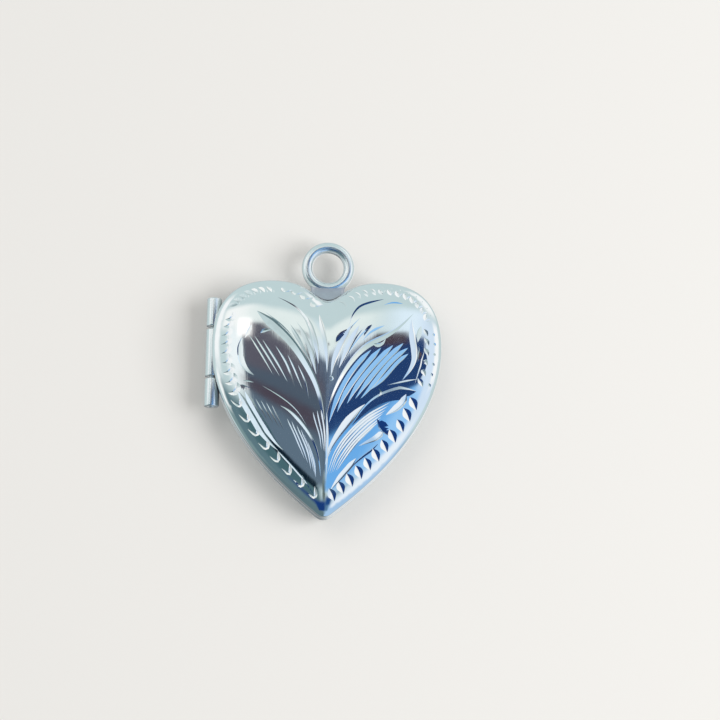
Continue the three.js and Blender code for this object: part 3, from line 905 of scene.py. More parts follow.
class Engraving:
    """All the cuts in the front: the leaves and the rows of marks round them.

    Attributes:
        line_step: Spacing of the points along a cut, in mm.
        fewest: Fewest points along a cut.
        span_steps: Points of a smooth line between two drawn ones.
        long_stroke: Most drawn points of a stroke that is left as drawn.
        eased: How many times a longer stroke is eased.
        sight_lean: Angle of the line of sight from below, in radians.
        sight_turn: Angle of the line of sight from the left, in radians.
        sight_rounds: Steps in which a drawn place settles on the dome.
        mark_sizes: Least and greatest size of a border mark beside its row's.
        mark_stray: Most that a point of a mark is off, in mm.
    """

    line_step = 0.16
    fewest = 5
    span_steps = 12
    long_stroke = 6
    eased = 2
    sight_lean = math.radians(SEEN_FROM_BELOW)
    sight_turn = math.radians(SEEN_FROM_LEFT)
    sight_rounds = 4
    mark_sizes = (0.93, 1.07)
    mark_stray = 0.025

    def __init__(self, heart: HeartShape, dome: Dome) -> None:
        """Lays every stroke on the dome.

        Args:
            heart: The outline that the border follows.
            dome: The face that the leaves are cut in.
        """
        self.heart = heart
        self.dome = dome
        self.hand = np.random.default_rng(HAND_SEED)
        self.cuts: list[Cut] = []
        self.lay_leaves()
        self.lay_border()

    def drop(self, drawn: np.ndarray) -> np.ndarray:
        """Drops places drawn on the picture plane along the line of sight onto the dome.

        Args:
            drawn: Places across and up the picture plane, in mm.

        Returns:
            The places on the dome.
        """
        place = drawn.copy()
        for _ in range(self.sight_rounds):
            depth = self.dome.depth(place)
            place[:, 0] = drawn[:, 0] - math.sin(self.sight_turn) * depth
            place[:, 1] = (drawn[:, 1] - math.sin(self.sight_lean) * depth) / math.cos(self.sight_lean)
        return place

    def smooth(self, points: np.ndarray) -> np.ndarray:
        """A smooth line through a few points.

        Args:
            points: The places it passes through.

        Returns:
            Evenly spaced places along it.
        """
        ends = np.concatenate([[2 * points[0] - points[1]], points, [2 * points[-1] - points[-2]]])
        share = np.linspace(0, 1, self.span_steps, endpoint=False)[:, None]
        spans = []
        for a, b, c, d in zip(ends, ends[1:], ends[2:], ends[3:]):
            bend = 2 * b + (c - a) * share + (2 * a - 5 * b + 4 * c - d) * share**2
            spans.append((bend + (3 * b - a - 3 * c + d) * share**3) / 2)
        line = np.concatenate([*spans, points[-1:]])
        count = int(lengths_along(line)[-1] / self.line_step) + 1
        return evenly_spaced(line, max(self.fewest, count))

    def lay(self, stroke: Stroke) -> None:
        """Adds one drawn stroke, with the long ones eased where the drawing wavers.

        Args:
            stroke: The stroke.
        """
        points = np.array(stroke.points, float)
        for _ in range(self.eased if len(points) > self.long_stroke else 0):
            points[1:-1] = (points[:-2] + 2 * points[1:-1] + points[2:]) / 4
        self.cuts.append(Cut(self.smooth(self.drop(points)), stroke.width, stroke.graver))

    def lay_leaves(self) -> None:
        """Adds the leaves, the spear between them and their hatching."""
        drawn = [stroke for leaf in LEAVES for stroke in leaf]
        spread = [stroke for fan in HATCHING for stroke in fan.strokes(self.hand)]
        for stroke in drawn + spread:
            self.lay(stroke)

    def lay_border(self) -> None:
        """Adds the rows of marks inside the outline."""
        half = self.heart.half(0)
        inwards = -left_of(half)
        lengths = lengths_along(half)
        for row in BORDER:
            share = row.span[0]
            while share <= row.span[1]:
                columns = (*half.T, *inwards.T)
                x, z, x_in, z_in = (np.interp(share * lengths[-1], lengths, column) for column in columns)
                middle = np.array([(x + row.inset * x_in) * row.side, z + row.inset * z_in])
                size = row.between(share, row.size) * self.hand.uniform(*self.mark_sizes)
                turn = math.radians(row.between(share, row.turn))
                spin = np.array([[math.cos(turn), math.sin(turn)], [-math.sin(turn), math.cos(turn)]])
                for stroke in row.mark:
                    stray = self.hand.uniform(-self.mark_stray, self.mark_stray, (len(stroke.points), 2))
                    points = middle + size * np.array(stroke.points) @ spin + stray
                    self.cuts.append(Cut(self.smooth(points), stroke.width * size, stroke.graver))
                share += row.between(share, row.pitch) / lengths[-1]

    def measure(self, places: np.ndarray) -> tuple[np.ndarray, np.ndarray]:
        """The deepest cut at each place.

        Args:
            places: The places.

        Returns:
            The depth, and its slopes along X and Z.
        """
        depth = np.zeros(len(places))
        slope = np.zeros((len(places), 2))
        for cut in self.cuts:
            lines = np.concatenate(cut.lines)
            near = np.nonzero(((places > lines.min(axis=0)) & (places < lines.max(axis=0))).all(axis=1))[0]
            if len(near):
                deep, tilt = cut.measure(places[near])
                more = deep > depth[near]
                depth[near[more]] = deep[more]
                slope[near[more]] = tilt[more]
        return depth, slope


# Finishes


class Nodes:
    """Short ways to place and join nodes in one tree."""

    def __init__(self, tree: bpy.types.NodeTree) -> None:
        """Works on one node tree."""
        self.tree = tree

    def add(self, kind: str, **settings: object) -> bpy.types.Node:
        """Places a node.

        Args:
            kind: Blender's name of the node.
            **settings: Properties, and values of inputs where the name is an input's.

        Returns:
            The node.
        """
        node = self.tree.nodes.new(kind)
        for key, value in settings.items():
            if hasattr(node, key):
                setattr(node, key, value)
            else:
                node.inputs[key.replace("_", " ").title()].default_value = value
        return node

    def join(self, source: Socket, target: Socket) -> None:
        """Joins an output to an input."""
        self.tree.links.new(source, target)

    def feed(self, source: object, target: Socket) -> None:
        """Gives an input a value.

        Args:
            source: A plain value, or an output to join.
            target: The input.
        """
        if isinstance(source, Socket):
            self.join(source, target)
        else:
            target.default_value = source

    def math(self, operation: str, *values: object, clamp: bool = False) -> Socket:
        """A sum, product or other function of numbers and outputs.

        Args:
            operation: Blender's name of the function.
            *values: Numbers or outputs.
            clamp: Whether the result stays between 0 and 1.

        Returns:
            The result.
        """
        node = self.add("ShaderNodeMath", operation=operation, use_clamp=clamp)
        for socket, value in zip(node.inputs, values):
            self.feed(value, socket)
        return node.outputs[0]

    def mix(self, share: object, low: object, high: object) -> Socket:
        """A colour between two colours.

        Args:
            share: 0 for the first colour and 1 for the second.
            low: The first colour, or an output.
            high: The second colour, or an output.

        Returns:
            The colour.
        """
        node = self.add("ShaderNodeMix", data_type="RGBA")
        inputs = {socket.identifier: socket for socket in node.inputs}
        for name, value in (("Factor_Float", share), ("A_Color", low), ("B_Color", high)):
            self.feed(value, inputs[name])
        return next(socket for socket in node.outputs if socket.identifier == "Result_Color")

    def noise(self, place: Socket, **settings: float) -> Socket:
        """The strength of a noise texture.

        Args:
            place: The place that the texture is read at.
            **settings: Values of its inputs.

        Returns:
            The strength, about 0.5.
        """
        node = self.add("ShaderNodeTexNoise", **settings)
        self.join(place, node.inputs["Vector"])
        return node.outputs["Fac"]

    def object_place(self) -> Socket:
        """The place of the surface in its object, in metres."""
        return self.add("ShaderNodeTexCoord").outputs["Object"]

    def mark(self, label: str) -> Socket:
        """The number that mark_points wrote under a label."""
        return self.add("ShaderNodeAttribute", attribute_name=label).outputs["Fac"]


def set_inputs(node: bpy.types.Node, values: dict[str, object]) -> None:
    """Sets inputs of a node by their labels."""
    for label, value in values.items():
        node.inputs[label].default_value = value


def new_material(name: str) -> tuple[bpy.types.Material, Nodes, bpy.types.Node]:
    """A new material.

    Args:
        name: Name of the material.

    Returns:
        The material, a helper for its nodes and its Principled shader.
    """
    made = bpy.data.materials.new(name)
    made.use_nodes = True
    return made, Nodes(made.node_tree), made.node_tree.nodes["Principled BSDF"]


def node_group(
    name: str, inputs: dict[str, float], outputs: Iterable[str]
) -> tuple[Nodes, bpy.types.Node, bpy.types.Node]:
    """An empty shader node group with its sockets.

    Args:
        name: Name of the group.
        inputs: Names and first values of its number inputs.
        outputs: Names of its number outputs.

    Returns:
        A helper for its nodes, and the nodes by which values enter and leave it.
    """
    group = bpy.data.node_groups.new(name, "ShaderNodeTree")
    for label, value in inputs.items():
        socket = group.interface.new_socket(label, in_out="INPUT", socket_type="NodeSocketFloat")
        socket.default_value = value
    for label in outputs:
        group.interface.new_socket(label, in_out="OUTPUT", socket_type="NodeSocketFloat")
    nodes = Nodes(group)
    return nodes, nodes.add("NodeGroupInput"), nodes.add("NodeGroupOutput")


@dataclass(frozen=True)
class HandWear:
    """Slight waves, fine scratches and smears that polishing and wearing leave on silver.

    Attributes:
        turns: Turns about Y of the sets of scratches, in radians.
        tilt: Turns of every set about X and about Z, in radians.
        stretch: How fine the scratches are along X, Y and Z.
        scratch_from: Strength of the noise above which a scratch shows.
        scratch_gain: How sharply a scratch starts.
        scratch_depth: Depth of a scratch as a share of the waves' height.
        smear_from: Strength of the noise above which a smear shows.
        smear_gain: How sharply a smear starts.
    """

    turns: Triple = (0.35, 1.45, 2.3)
    tilt: Point = (0.3, 0.2)
    stretch: Triple = (9000.0, 2500.0, 260.0)
    scratch_from: float = 0.66
    scratch_gain: float = 7.0
    scratch_depth: float = 0.05
    smear_from: float = 0.42
    smear_gain: float = 2.2

    def group(self) -> bpy.types.NodeTree:
        """Builds the node group.

        Returns:
            A group with the outputs Height and Smear.
        """
        nodes, enter, leave = node_group("HandWear", {"Waves": 1.0, "Scratches": 1.0}, ("Height", "Smear"))
        place = nodes.object_place()
        waves = nodes.noise(place, scale=330.0, detail=1.5, roughness=0.4)
        smears = nodes.noise(place, scale=700.0, detail=4.0, roughness=0.65)
        scratches = 0.0
        for turn in self.turns:
            set_turn = (self.tilt[0], turn, self.tilt[1])
            stretch = nodes.add("ShaderNodeMapping", rotation=set_turn, scale=self.stretch)
            nodes.join(place, stretch.inputs["Vector"])
            lines = nodes.noise(stretch.outputs["Vector"], scale=1.0, detail=0.0)
            thin = nodes.math("SUBTRACT", lines, self.scratch_from)
            thin = nodes.math("MULTIPLY", thin, self.scratch_gain, clamp=True)
            scratches = nodes.math("ADD", scratches, thin)
        scratches = nodes.math("MULTIPLY", scratches, enter.outputs["Scratches"])
        wave = nodes.math("MULTIPLY", waves, enter.outputs["Waves"])
        height = nodes.math("SUBTRACT", wave, nodes.math("MULTIPLY", scratches, self.scratch_depth))
        nodes.join(height, leave.inputs["Height"])
        cloudy = nodes.math("SUBTRACT", smears, self.smear_from)
        nodes.join(nodes.math("MULTIPLY", cloudy, self.smear_gain, clamp=True), leave.inputs["Smear"])
        return nodes.tree


@dataclass(frozen=True)
class TarnishAndShade:
    """Dark tarnish that stays in the cuts, and painted shade on the knuckles' side towards the case, both
    read from the mesh's "cut" mark.

    Attributes:
        patchy: How much the tarnish in the cuts varies from place to place.
        least: Share of the tarnish that is there all along the cuts.
        to_floor: How closely it keeps to the floor of a cut.
    """

    patchy: float = 0.9
    least: float = 0.25
    # to_floor: How closely it keeps to the floor of a cut, and how closely the painted shade keeps to the
    # case side of a knuckle.
    to_floor: float = 3.0

    def group(self) -> bpy.types.NodeTree:
        """Builds the node group.

        Returns:
            A group with the output Mask, from the mesh's own marks and a thin patchy film.
        """
        nodes, enter, leave = node_group("TarnishAndShade", {"In cuts and shade": 1.0, "Overall": 0.0}, ("Mask",))
        patch = nodes.noise(nodes.object_place(), scale=900.0, detail=3.0)
        uneven = nodes.math("ADD", nodes.math("MULTIPLY", patch, self.patchy), self.least)
        # The "cut" mark holds tarnish in the engraving and painted shade on the knuckles.
        floor = nodes.math("POWER", nodes.mark("cut"), self.to_floor)
        deep = nodes.math("MULTIPLY", floor, enter.outputs["In cuts and shade"])
        deep = nodes.math("MULTIPLY", deep, uneven)
        film = nodes.math("MULTIPLY", patch, enter.outputs["Overall"])
        nodes.join(nodes.math("ADD", deep, film, clamp=True), leave.inputs["Mask"])
        return nodes.tree


@dataclass(frozen=True)
class SilverFinish:
    """Solid silver with a hand finish.

    Attributes:
        name: Name of the material.
        colour: Colour of the clean metal.
        tarnish_and_shade: Colour of the tarnish, also used for the painted shade on the knuckles.
        roughness: Roughness of the clean metal.
        smear: Roughness that smears add.
        waves: Strength of the slow waves in the sheet.
        scratches: Strength of the fine scratches.
        in_cuts_and_shade: Strength of tarnish in the cuts and of the painted shade on the knuckles.
        overall: Strength of the thin film of tarnish all over.
        inside: Roughness added on the unpolished inner skin of a cover.
        dull: Roughness that tarnish and the painted shade add.
        relief: Height of the waves, in metres.
    """

    name: str
    colour: Colour = (0.93, 0.925, 0.91, 1)
    tarnish_and_shade: Colour = (0.16, 0.15, 0.15, 1)
    roughness: float = 0.05
    smear: float = 0.045
    waves: float = 1.0
    scratches: float = 1.0
    in_cuts_and_shade: float = 0.12
    overall: float = 0.06
    inside: float = 0.3
    dull: float = 0.3
    relief: float = 0.000012

    def material(self, wear: bpy.types.NodeTree, tarnish_and_shade: bpy.types.NodeTree) -> bpy.types.Material:
        """Builds the material.

        Args:
            wear: The group of waves, scratches and smears.
            tarnish_and_shade: The group of tarnish and painted shade.

        Returns:
            The material.
        """
        made, nodes, shader = new_material(self.name)
        worn = nodes.add("ShaderNodeGroup", node_tree=wear)
        dark = nodes.add("ShaderNodeGroup", node_tree=tarnish_and_shade)
        set_inputs(shader, {"Metallic": 1.0})
        set_inputs(worn, {"Waves": self.waves, "Scratches": self.scratches})
        set_inputs(dark, {"In cuts and shade": self.in_cuts_and_shade, "Overall": self.overall})
        # The mask darkens the metal with tarnish in the cuts and with painted shade on the knuckles.
        mask = dark.outputs["Mask"]
        nodes.join(nodes.mix(mask, self.colour, self.tarnish_and_shade), shader.inputs["Base Color"])
        rough = nodes.math("ADD", nodes.math("MULTIPLY", worn.outputs["Smear"], self.smear), self.roughness)
        rough = nodes.math("ADD", rough, nodes.math("MULTIPLY", mask, self.dull))
        rough = nodes.math("ADD", rough, nodes.math("MULTIPLY", nodes.mark("inside"), self.inside))
        nodes.join(rough, shader.inputs["Roughness"])
        bump = nodes.add("ShaderNodeBump", strength=1.0, distance=self.relief)
        nodes.join(worn.outputs["Height"], bump.inputs["Height"])
        nodes.join(bump.outputs["Normal"], shader.inputs["Normal"])
        return made


@dataclass(frozen=True)
class AcetateFinish:
    """Thin clear sheet over a picture, with a few hazy rubs.

    Attributes:
        name: Name of the material.
        colour: Tint of the sheet.
        clear: Share of the light that passes into it.
        ior: How strongly it bends light.
        roughness: Roughness where it is clean.
        haze: Roughness that the rubs add.
    """

    name: str = "ClearAcetate"
    colour: Colour = (0.97, 0.98, 0.98, 1)
    clear: float = 0.96
    ior: float = 1.47
    roughness: float = 0.1
    haze: float = 0.09

    def material(self) -> bpy.types.Material:
        """Builds the material.

        Returns:
            The material.
        """
        made, nodes, shader = new_material(self.name)
        set_inputs(shader, {"Base Color": self.colour, "Transmission Weight": self.clear, "IOR": self.ior})
        rubs = nodes.add("ShaderNodeTexNoise", scale=1200.0, detail=4.0)
        haze = nodes.math("MULTIPLY", rubs.outputs["Fac"], self.haze)
        nodes.join(nodes.math("ADD", haze, self.roughness), shader.inputs["Roughness"])
        return made


MIRROR = SilverFinish("MirrorSilver", scratches=0.4)
PLAIN = SilverFinish("PlainSilver", roughness=0.13, scratches=0.5)
FRAME = SilverFinish("FrameSilver", colour=(0.95, 0.93, 0.89, 1), roughness=0.24)
# Finish of the ring and the knuckles; its strong darkening by the marks paints shade on the knuckles' side
# towards the case.
WORN_SHADED = SilverFinish("WornShadedSilver", roughness=0.22, smear=0.05, waves=0.3, scratches=0.0, in_cuts_and_shade=0.8)
SATIN = SilverFinish("SatinSilver", colour=(0.86, 0.85, 0.84, 1), roughness=0.26, smear=0.16, overall=0.14)
SOLDER = SilverFinish(
    "SolderedSilver", colour=(0.64, 0.63, 0.68, 1), roughness=0.34, smear=0.2, waves=4.0, overall=0.35
)


class Finishes:
    """The materials of the locket, each made once."""

    def __init__(self) -> None:
        """Builds the shared groups and the materials."""
        wear, tarnish_and_shade = HandWear().group(), TarnishAndShade().group()
        self.mirror = MIRROR.material(wear, tarnish_and_shade)
        self.plain = PLAIN.material(wear, tarnish_and_shade)
        self.frame = FRAME.material(wear, tarnish_and_shade)
        self.worn = WORN_SHADED.material(wear, tarnish_and_shade)
        self.satin = SATIN.material(wear, tarnish_and_shade)
        self.solder = SOLDER.material(wear, tarnish_and_shade)
        self.window = AcetateFinish().material()


# The two halves of the case


@dataclass
class HingeLine:
    """Where the hinge runs and the room cut round it, in mm.

    Attributes:
        x: Where its pin stands.
        top: Height at which the top knuckle starts.
        bottom: Height at which the bottom knuckle ends.
        notch: Radius of the notch in the walls.
        room: How far the notch reaches past the knuckles.
    """

    x: float = -9.89
    top: float = -3.08
    bottom: float = -12.72
    notch: float = 0.73
    room: float = 0.08

    def wall_edge(self, ring: np.ndarray, edge: float) -> np.ndarray:
        """How far from the meeting plane the wall ends at each place of a ring.

        Args:
            ring: Places of the wall.
            edge: The distance away from the hinge.

        Returns:
            The distances, larger in the notch that the knuckles lie in.
        """
        beside = np.clip(self.notch**2 - (ring[:, 0] - self.x) ** 2, 0, None)
        along = (ring[:, 1] < self.top + self.room) & (ring[:, 1] > self.bottom - self.room)
        return np.where(along, np.maximum(edge, np.sqrt(beside)), edge)


@dataclass
class Cover:
    """One pressed shell of the case: a straight wall, a rolled shoulder and a dome.

    Attributes:
        heart: The outline.
        hinge: The hinge that the wall is notched for.
        side: The side that it faces.
        rise: Height of the dome over the wall, in mm.
        edge: Distance of the wall's edge from the meeting plane, in mm.
        flat_share: Size of the flat in the middle of the dome beside the heart's.
        sheet: Thickness of the sheet, in mm.
        round_count: Points round each ring.
        broken_edge: Radius of the wall's broken edge, in mm.
        edge_count: Rings round that edge.
        wall_shares: Shares of the way up the wall at which it has a ring.
        face_count: Rings of the outer face.
        lining_count: Rings of the inner face.
    """

    heart: HeartShape
    hinge: HingeLine
    side: Side
    rise: float
    edge: float
    flat_share: float = 0.0
    sheet: float = 0.32
    round_count: int = 560
    broken_edge: float = 0.05
    edge_count: int = 4
    wall_shares: Point = (0.35, 0.7)
    face_count: int = 26
    lining_count: int = 18

    def skin_rings(self, inset: float, rise: float, shares: np.ndarray) -> list[np.ndarray]:
        """Rings from the shoulder towards the middle of the dome.

        Args:
            inset: Inset of the skin from the outline.
            rise: Height of the dome over the wall.
            shares: Shares of the way in, from 0 at the wall to 1 at the edge of the flat.

        Returns:
            One array of points for each share.
        """
        outline = self.heart.ring(inset, self.round_count)
        centre = np.array([0, self.heart.centre_z])
        rings = []
        for share in shares:
            shrink = 1 - share * (1 - self.flat_share)
            depth = self.heart.wall + rise * math.sqrt(1 - (1 - share) ** self.heart.crown_power)
            rings.append(at_depth(centre + (outline - centre) * shrink, self.side.value * depth))
        return rings

    def wall_rings(self, inset: float, inwards: float) -> list[np.ndarray]:
        """Rings up the wall from its broken edge at the meeting plane.

        Args:
            inset: Inset of this face of the wall.
            inwards: 1 if the sheet lies inside this face and -1 if outside.

        Returns:
            The rings in order from the edge.
        """
        rings = []
        corner = self.broken_edge
        for turn in np.linspace(0, math.pi / 2, self.edge_count):
            outline = self.heart.ring(inset + inwards * corner * (1 - math.sin(turn)), self.round_count)
            stand = self.hinge.wall_edge(outline, self.edge) + corner * (1 - math.cos(turn))
            rings.append(at_depth(outline, self.side.value * stand))
        outline = self.heart.ring(inset, self.round_count)
        low = self.hinge.wall_edge(outline, self.edge) + corner
        for share in self.wall_shares:
            depth = low + share * (self.heart.wall - low)
            rings.append(at_depth(outline, self.side.value * depth))
        return rings

    def middle(self, inset: float) -> Triple:
        """The point in the middle of the face, or that far under it."""
        return 0, self.side.value * (self.heart.wall + self.rise - inset), self.heart.centre_z

    def build_plain(self, name: str) -> Surface:
        """The whole shell without engraving.

        Args:
            name: Name of the piece.

        Returns:
            The closed surface.
        """
        surface = Surface(name)
        skin = self.skin_rings(0, self.rise, slow_start(self.face_count))
        numbers = surface.loft([*self.wall_rings(0, 1), *skin])
        surface.fan(numbers[-1], self.middle(0), flip=True)
        self.add_inside(surface, numbers[0])
        return surface

    def add_inside(self, surface: Surface, outer_edge: np.ndarray) -> None:
        """Adds the inner skin and joins it to the outer edge of the wall.

        Args:
            surface: The surface that already has the outer skin.
            outer_edge: Numbers of the points of the outer skin's first ring.
        """
        surface.inside_from = surface.count
        skin = self.skin_rings(self.sheet, self.rise - self.sheet, slow_start(self.lining_count))
        numbers = surface.loft([*self.wall_rings(self.sheet, -1), *skin])
        surface.fan(numbers[-1], self.middle(self.sheet))
        surface.bridge(numbers[0], outer_edge)


@dataclass
class EngravedCover(Cover):
    """The front shell, whose face carries real cuts.

    Attributes:
        shoulder_share: Share of the way in where the rolled shoulder ends and the engraved face starts.
        shoulder_count: Rings of the shoulder.
        grid: Spacing of the points on the open face, in mm.
        row_share: Spacing of their rows as a share of that.
        shoulder_clear: How far they stay inside the shoulder, where 1 is its end.
        cut_clear: How far they stay from the cuts, as a share of their spacing.
        same_point: Distance in mm under which two points are one.
        full_dark: Depth of a cut in mm from which it is fully dark.
    """

    shoulder_share: float = 0.02
    shoulder_count: int = 8
    grid: float = 0.3
    row_share: float = 0.866
    shoulder_clear: float = 1.6
    cut_clear: float = 0.4
    same_point: float = 1e-5
    full_dark: float = 0.05

    def build_engraved(self, name: str) -> bpy.types.Object:
        """Builds the shell with its cuts, smooth between them and crisp along them.

        Args:
            name: Name of the piece.

        Returns:
            The object.
        """
        dome = Dome(self.heart, self.rise)
        engraving = Engraving(self.heart, dome)
        surface = Surface(name)
        skin = self.skin_rings(0, self.rise, self.shoulder_share * slow_start(self.shoulder_count))
        numbers = surface.loft([*self.wall_rings(0, 1), *skin])
        shoulder_end = len(surface.faces)
        places, triangles, matched = self.face_triangles(skin[-1][:, [0, 2]], engraving)
        deep = engraving.measure(places)[0]
        face = at_depth(places, self.side.value * (dome.depth(places) - deep))
        renumber = np.zeros(len(places), int)
        renumber[matched >= 0] = numbers[-1][matched[matched >= 0]]
        renumber[matched < 0] = surface.add(face[matched < 0])
        surface.faces += [tuple(int(i) for i in renumber[triangle]) for triangle in triangles]
        face_end = len(surface.faces)
        self.add_inside(surface, numbers[0])
        made = surface.to_object()
        dark = np.zeros(len(made.data.vertices))
        dark[renumber] = np.clip(deep / self.full_dark, 0, 1)
        mark_points(made.data, "cut", dark)
        self.set_normals(made.data, engraving, slice(shoulder_end, face_end))
        return made

    def face_triangles(
        self, rim: np.ndarray, engraving: Engraving
    ) -> tuple[np.ndarray, np.ndarray, np.ndarray]:
        """Fills the face with triangles whose sides follow every cut.

        Args:
            rim: Places round the face.
            engraving: The cuts.

        Returns:
            The places, the triangles, and for each place its number in the rim or -1.
        """
        coords = rim.tolist()
        edges = [(i, (i + 1) % len(rim)) for i in range(len(rim))]
        for cut in engraving.cuts:
            ends = []
            for line in cut.lines:
                first = len(coords)
                coords += line.tolist()
                edges += [(i, i + 1) for i in range(first, len(coords) - 1)]
                ends.append((first, len(coords) - 1))
            for a, b in zip(ends, ends[1:]):
                edges += [(a[0], b[0]), (a[1], b[1])]
        coords += self.open_field(rim, np.array(coords[len(rim) :]), engraving.dome).tolist()
        inside_only = 1
        points, _, faces, came_from, *_ = delaunay_2d_cdt(
            [Vector(place) for place in coords], edges, [], inside_only, self.same_point
        )
        places = np.array([tuple(point) for point in points])
        triangles = np.array([tuple(face) for face in faces])
        matched = np.full(len(places), -1)
        for number, sources in enumerate(came_from):
            on_rim = [source for source in sources if source < len(rim)]
            if on_rim:
                matched[number] = on_rim[0]
        return places, triangles, matched

    def open_field(self, rim: np.ndarray, crowded: np.ndarray, dome: Dome) -> np.ndarray:
        """Evenly spread places on the face that stay clear of the cuts.

        Args:
            rim: Places round the face.
            crowded: Places along all the cuts.
            dome: The dome of the face.

        Returns:
            The places.
        """
        low, high = rim.min(axis=0), rim.max(axis=0)
        rows = np.arange(low[1], high[1], self.grid * self.row_share)
        columns = np.arange(low[0], high[0], self.grid)
        spots = np.array([(x + (i % 2) * self.grid / 2, z) for i, z in enumerate(rows) for x in columns])
        spots = spots[dome.share(spots) < 1 - self.shoulder_share * self.shoulder_clear]
        cell = self.grid * self.cut_clear
        taken = {tuple(key) for key in np.floor(crowded / cell).astype(int)}
        keys = np.floor(spots / cell).astype(int)
        around = [(i, j) for i in (-1, 0, 1) for j in (-1, 0, 1)]
        clear = [not any((k[0] + i, k[1] + j) in taken for i, j in around) for k in keys]
        return spots[clear]

    def set_normals(self, mesh: bpy.types.Mesh, engraving: Engraving, face: slice) -> None:
        """Gives the face the exact slopes of the dome and of the walls of the cuts.

        Args:
            mesh: The cover's mesh.
            engraving: The cuts, with the dome they lie on.
            face: Which of the mesh's faces are those of the engraved face.
        """
        corner_vertex = np.zeros(len(mesh.loops), int)
        mesh.loops.foreach_get("vertex_index", corner_vertex)
        starts = np.zeros(len(mesh.polygons), int)
        mesh.polygons.foreach_get("loop_start", starts)
        corners = starts[face, None] + np.arange(3)
        places = point_places(mesh)[:, [0, 2]] / MM
        around = places[corner_vertex[corners]]
        deep, tilt = engraving.measure(around.mean(axis=1))
        slope = engraving.dome.slope(around.reshape(-1, 2)).reshape(around.shape)
        slope -= (tilt * (deep > 0)[:, None])[:, None, :]
        ahead = np.full(slope.shape[:2], float(self.side.value))
        out = np.stack([-slope[..., 0], ahead, -slope[..., 1]], axis=2)
        normals = np.zeros((len(mesh.loops), 3))
        normals[corners] = out / np.linalg.norm(out, axis=2)[..., None]
        mesh.normals_split_custom_set(normals.tolist())


@dataclass
class Strip:
    """A heart-shaped strip inside the case, lofted from one section."""

    heart: HeartShape
    side: Side
    section: Section
    count: int = 360

    def build(self, name: str) -> Surface:
        """Sweeps the section round the heart.

        Args:
            name: Name of the piece.

        Returns:
            The closed surface.
        """
        surface = Surface(name)
        way = self.side.value
        rings = [at_depth(self.heart.ring(inset, self.count), way * depth) for inset, depth in self.section]
        surface.loft(rings, closed=True)
        return surface


@dataclass
class PictureWell:
    """The bezel, frame and window inside one half.

    Sizes are insets from the outline and distances from the meeting plane, in mm.
    """

    heart: HeartShape
    side: Side
    name: str
    body: str
    flange_from: float = 0.34
    flange_to: float = 1.75
    seat: float = 0.72
    bezel_sheet: float = 0.2
    bezel_round: float = 0.05
    lip: Triple = (1.02, 1.22, 0.28)
    frame_from: float = 1.26
    frame_to: float = 2.10
    frame_top: float = 0.18
    frame_under: float = 0.54
    frame_seat: float = 0.70
    skirt: float = 0.16
    slope_run: float = 0.24
    slope_end: float = 0.12
    frame_round: float = 0.12
    frame_crease: float = 50.0

    def bezel_section(self) -> Section:
        """Section of the angle strip.

        Returns:
            Its corners, as inset and depth.
        """
        lip_out, lip_in, lip_top = self.lip
        outer, inner = self.flange_from, self.flange_to
        seat, under = self.seat, self.seat + self.bezel_sheet
        corners = [(outer, seat), (lip_out, seat), (lip_out, lip_top), (lip_in, lip_top)]
        corners += [(lip_in, seat), (inner, seat), (inner, under), (outer, under)]
        return rounded(corners, self.bezel_round, steps=3)

    def frame_section(self) -> Section:
        """Section of the removable frame, with a rounded top that slopes to the picture.

        Returns:
            Its corners, as inset and depth.
        """
        top, under, seat = self.frame_top, self.frame_under, self.frame_seat
        outer, inner, skirt = self.frame_from, self.frame_to, self.frame_from + self.skirt
        corners = [(outer, seat), (outer, top), (inner - self.slope_run, top)]
        corners += [(inner, under - self.slope_end), (inner, under), (skirt, under), (skirt, seat)]
        return rounded(corners, self.frame_round, steps=5)

    def build(self, finishes: Finishes) -> None:
        """Makes the bezel and the frame and dresses the window.

        Args:
            finishes: The materials.
        """
        bezel = Strip(self.heart, self.side, self.bezel_section()).build(f"{self.name}_bezel_detail")
        dress(bezel.to_object(), self.body, finishes.satin, f"{self.name}_bezel")
        rim = Strip(self.heart, self.side, self.frame_section()).build(f"{self.name}_frame_detail")
        rim_object = rim.to_object(self.frame_crease)
        dress(rim_object, self.body, finishes.frame, f"{self.name}_frame")
        cover_with(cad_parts[f"{self.name}_window"], finishes.window)


@dataclass
class CaseHalves:
    """Both halves of the case with all that is fixed in them.

    Attributes:
        heart: The outline.
        hinge: The hinge between them.
        front_rise: Height of the front dome over its wall, in mm.
        back_rise: Height of the back dome over its wall, in mm.
        back_flat: Size of the flat in the back dome beside the heart's.
        split: Gap between the two walls, in mm.
    """

    heart: HeartShape
    hinge: HingeLine
    front_rise: float = 1.5
    back_rise: float = 1.0
    back_flat: float = 0.42
    split: float = 0.03

    def build(self, finishes: Finishes) -> None:
        """Makes the covers and the picture wells, and gives the rim and the bearers their finish.

        Args:
            finishes: The materials.
        """
        front = EngravedCover(self.heart, self.hinge, Side.FRONT, self.front_rise, self.split)
        face = front.build_engraved("front_cover_engraved")
        dress(face, "front_half", finishes.mirror, "front_cover")
        back = Cover(self.heart, self.hinge, Side.BACK, self.back_rise, 0.0, flat_share=self.back_flat)
        plain = back.build_plain("back_cover_detail").to_object()
        dress(plain, "back_half", finishes.plain, "back_cover")
        for side, name, body in ((Side.FRONT, "front", "front_half"), (Side.BACK, "back", "back_half")):
            PictureWell(self.heart, side, name, body).build(finishes)
        for node in ("snap_rim", "front_bearer", "back_bearer"):
            cover_with(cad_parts[node], finishes.satin)


# Hinge, ring and foot


def turned(name: str, profile: Section, x: float, count: int = 72) -> Surface:
    """A piece turned about an upright axis in the meeting plane.

    Args:
        name: Name of the piece.
        profile: Closed profile as radius and height.
        x: Where the axis is.
        count: Faces round the axis.

    Returns:
        The closed surface.
    """
    surface = Surface(name)
    across, ahead = np.cos(round_angles(count)), np.sin(round_angles(count))
    rings = [np.stack([x + r * across, r * ahead, np.full(count, z)], axis=1) for r, z in profile]
    surface.loft(rings, closed=True)
    return surface


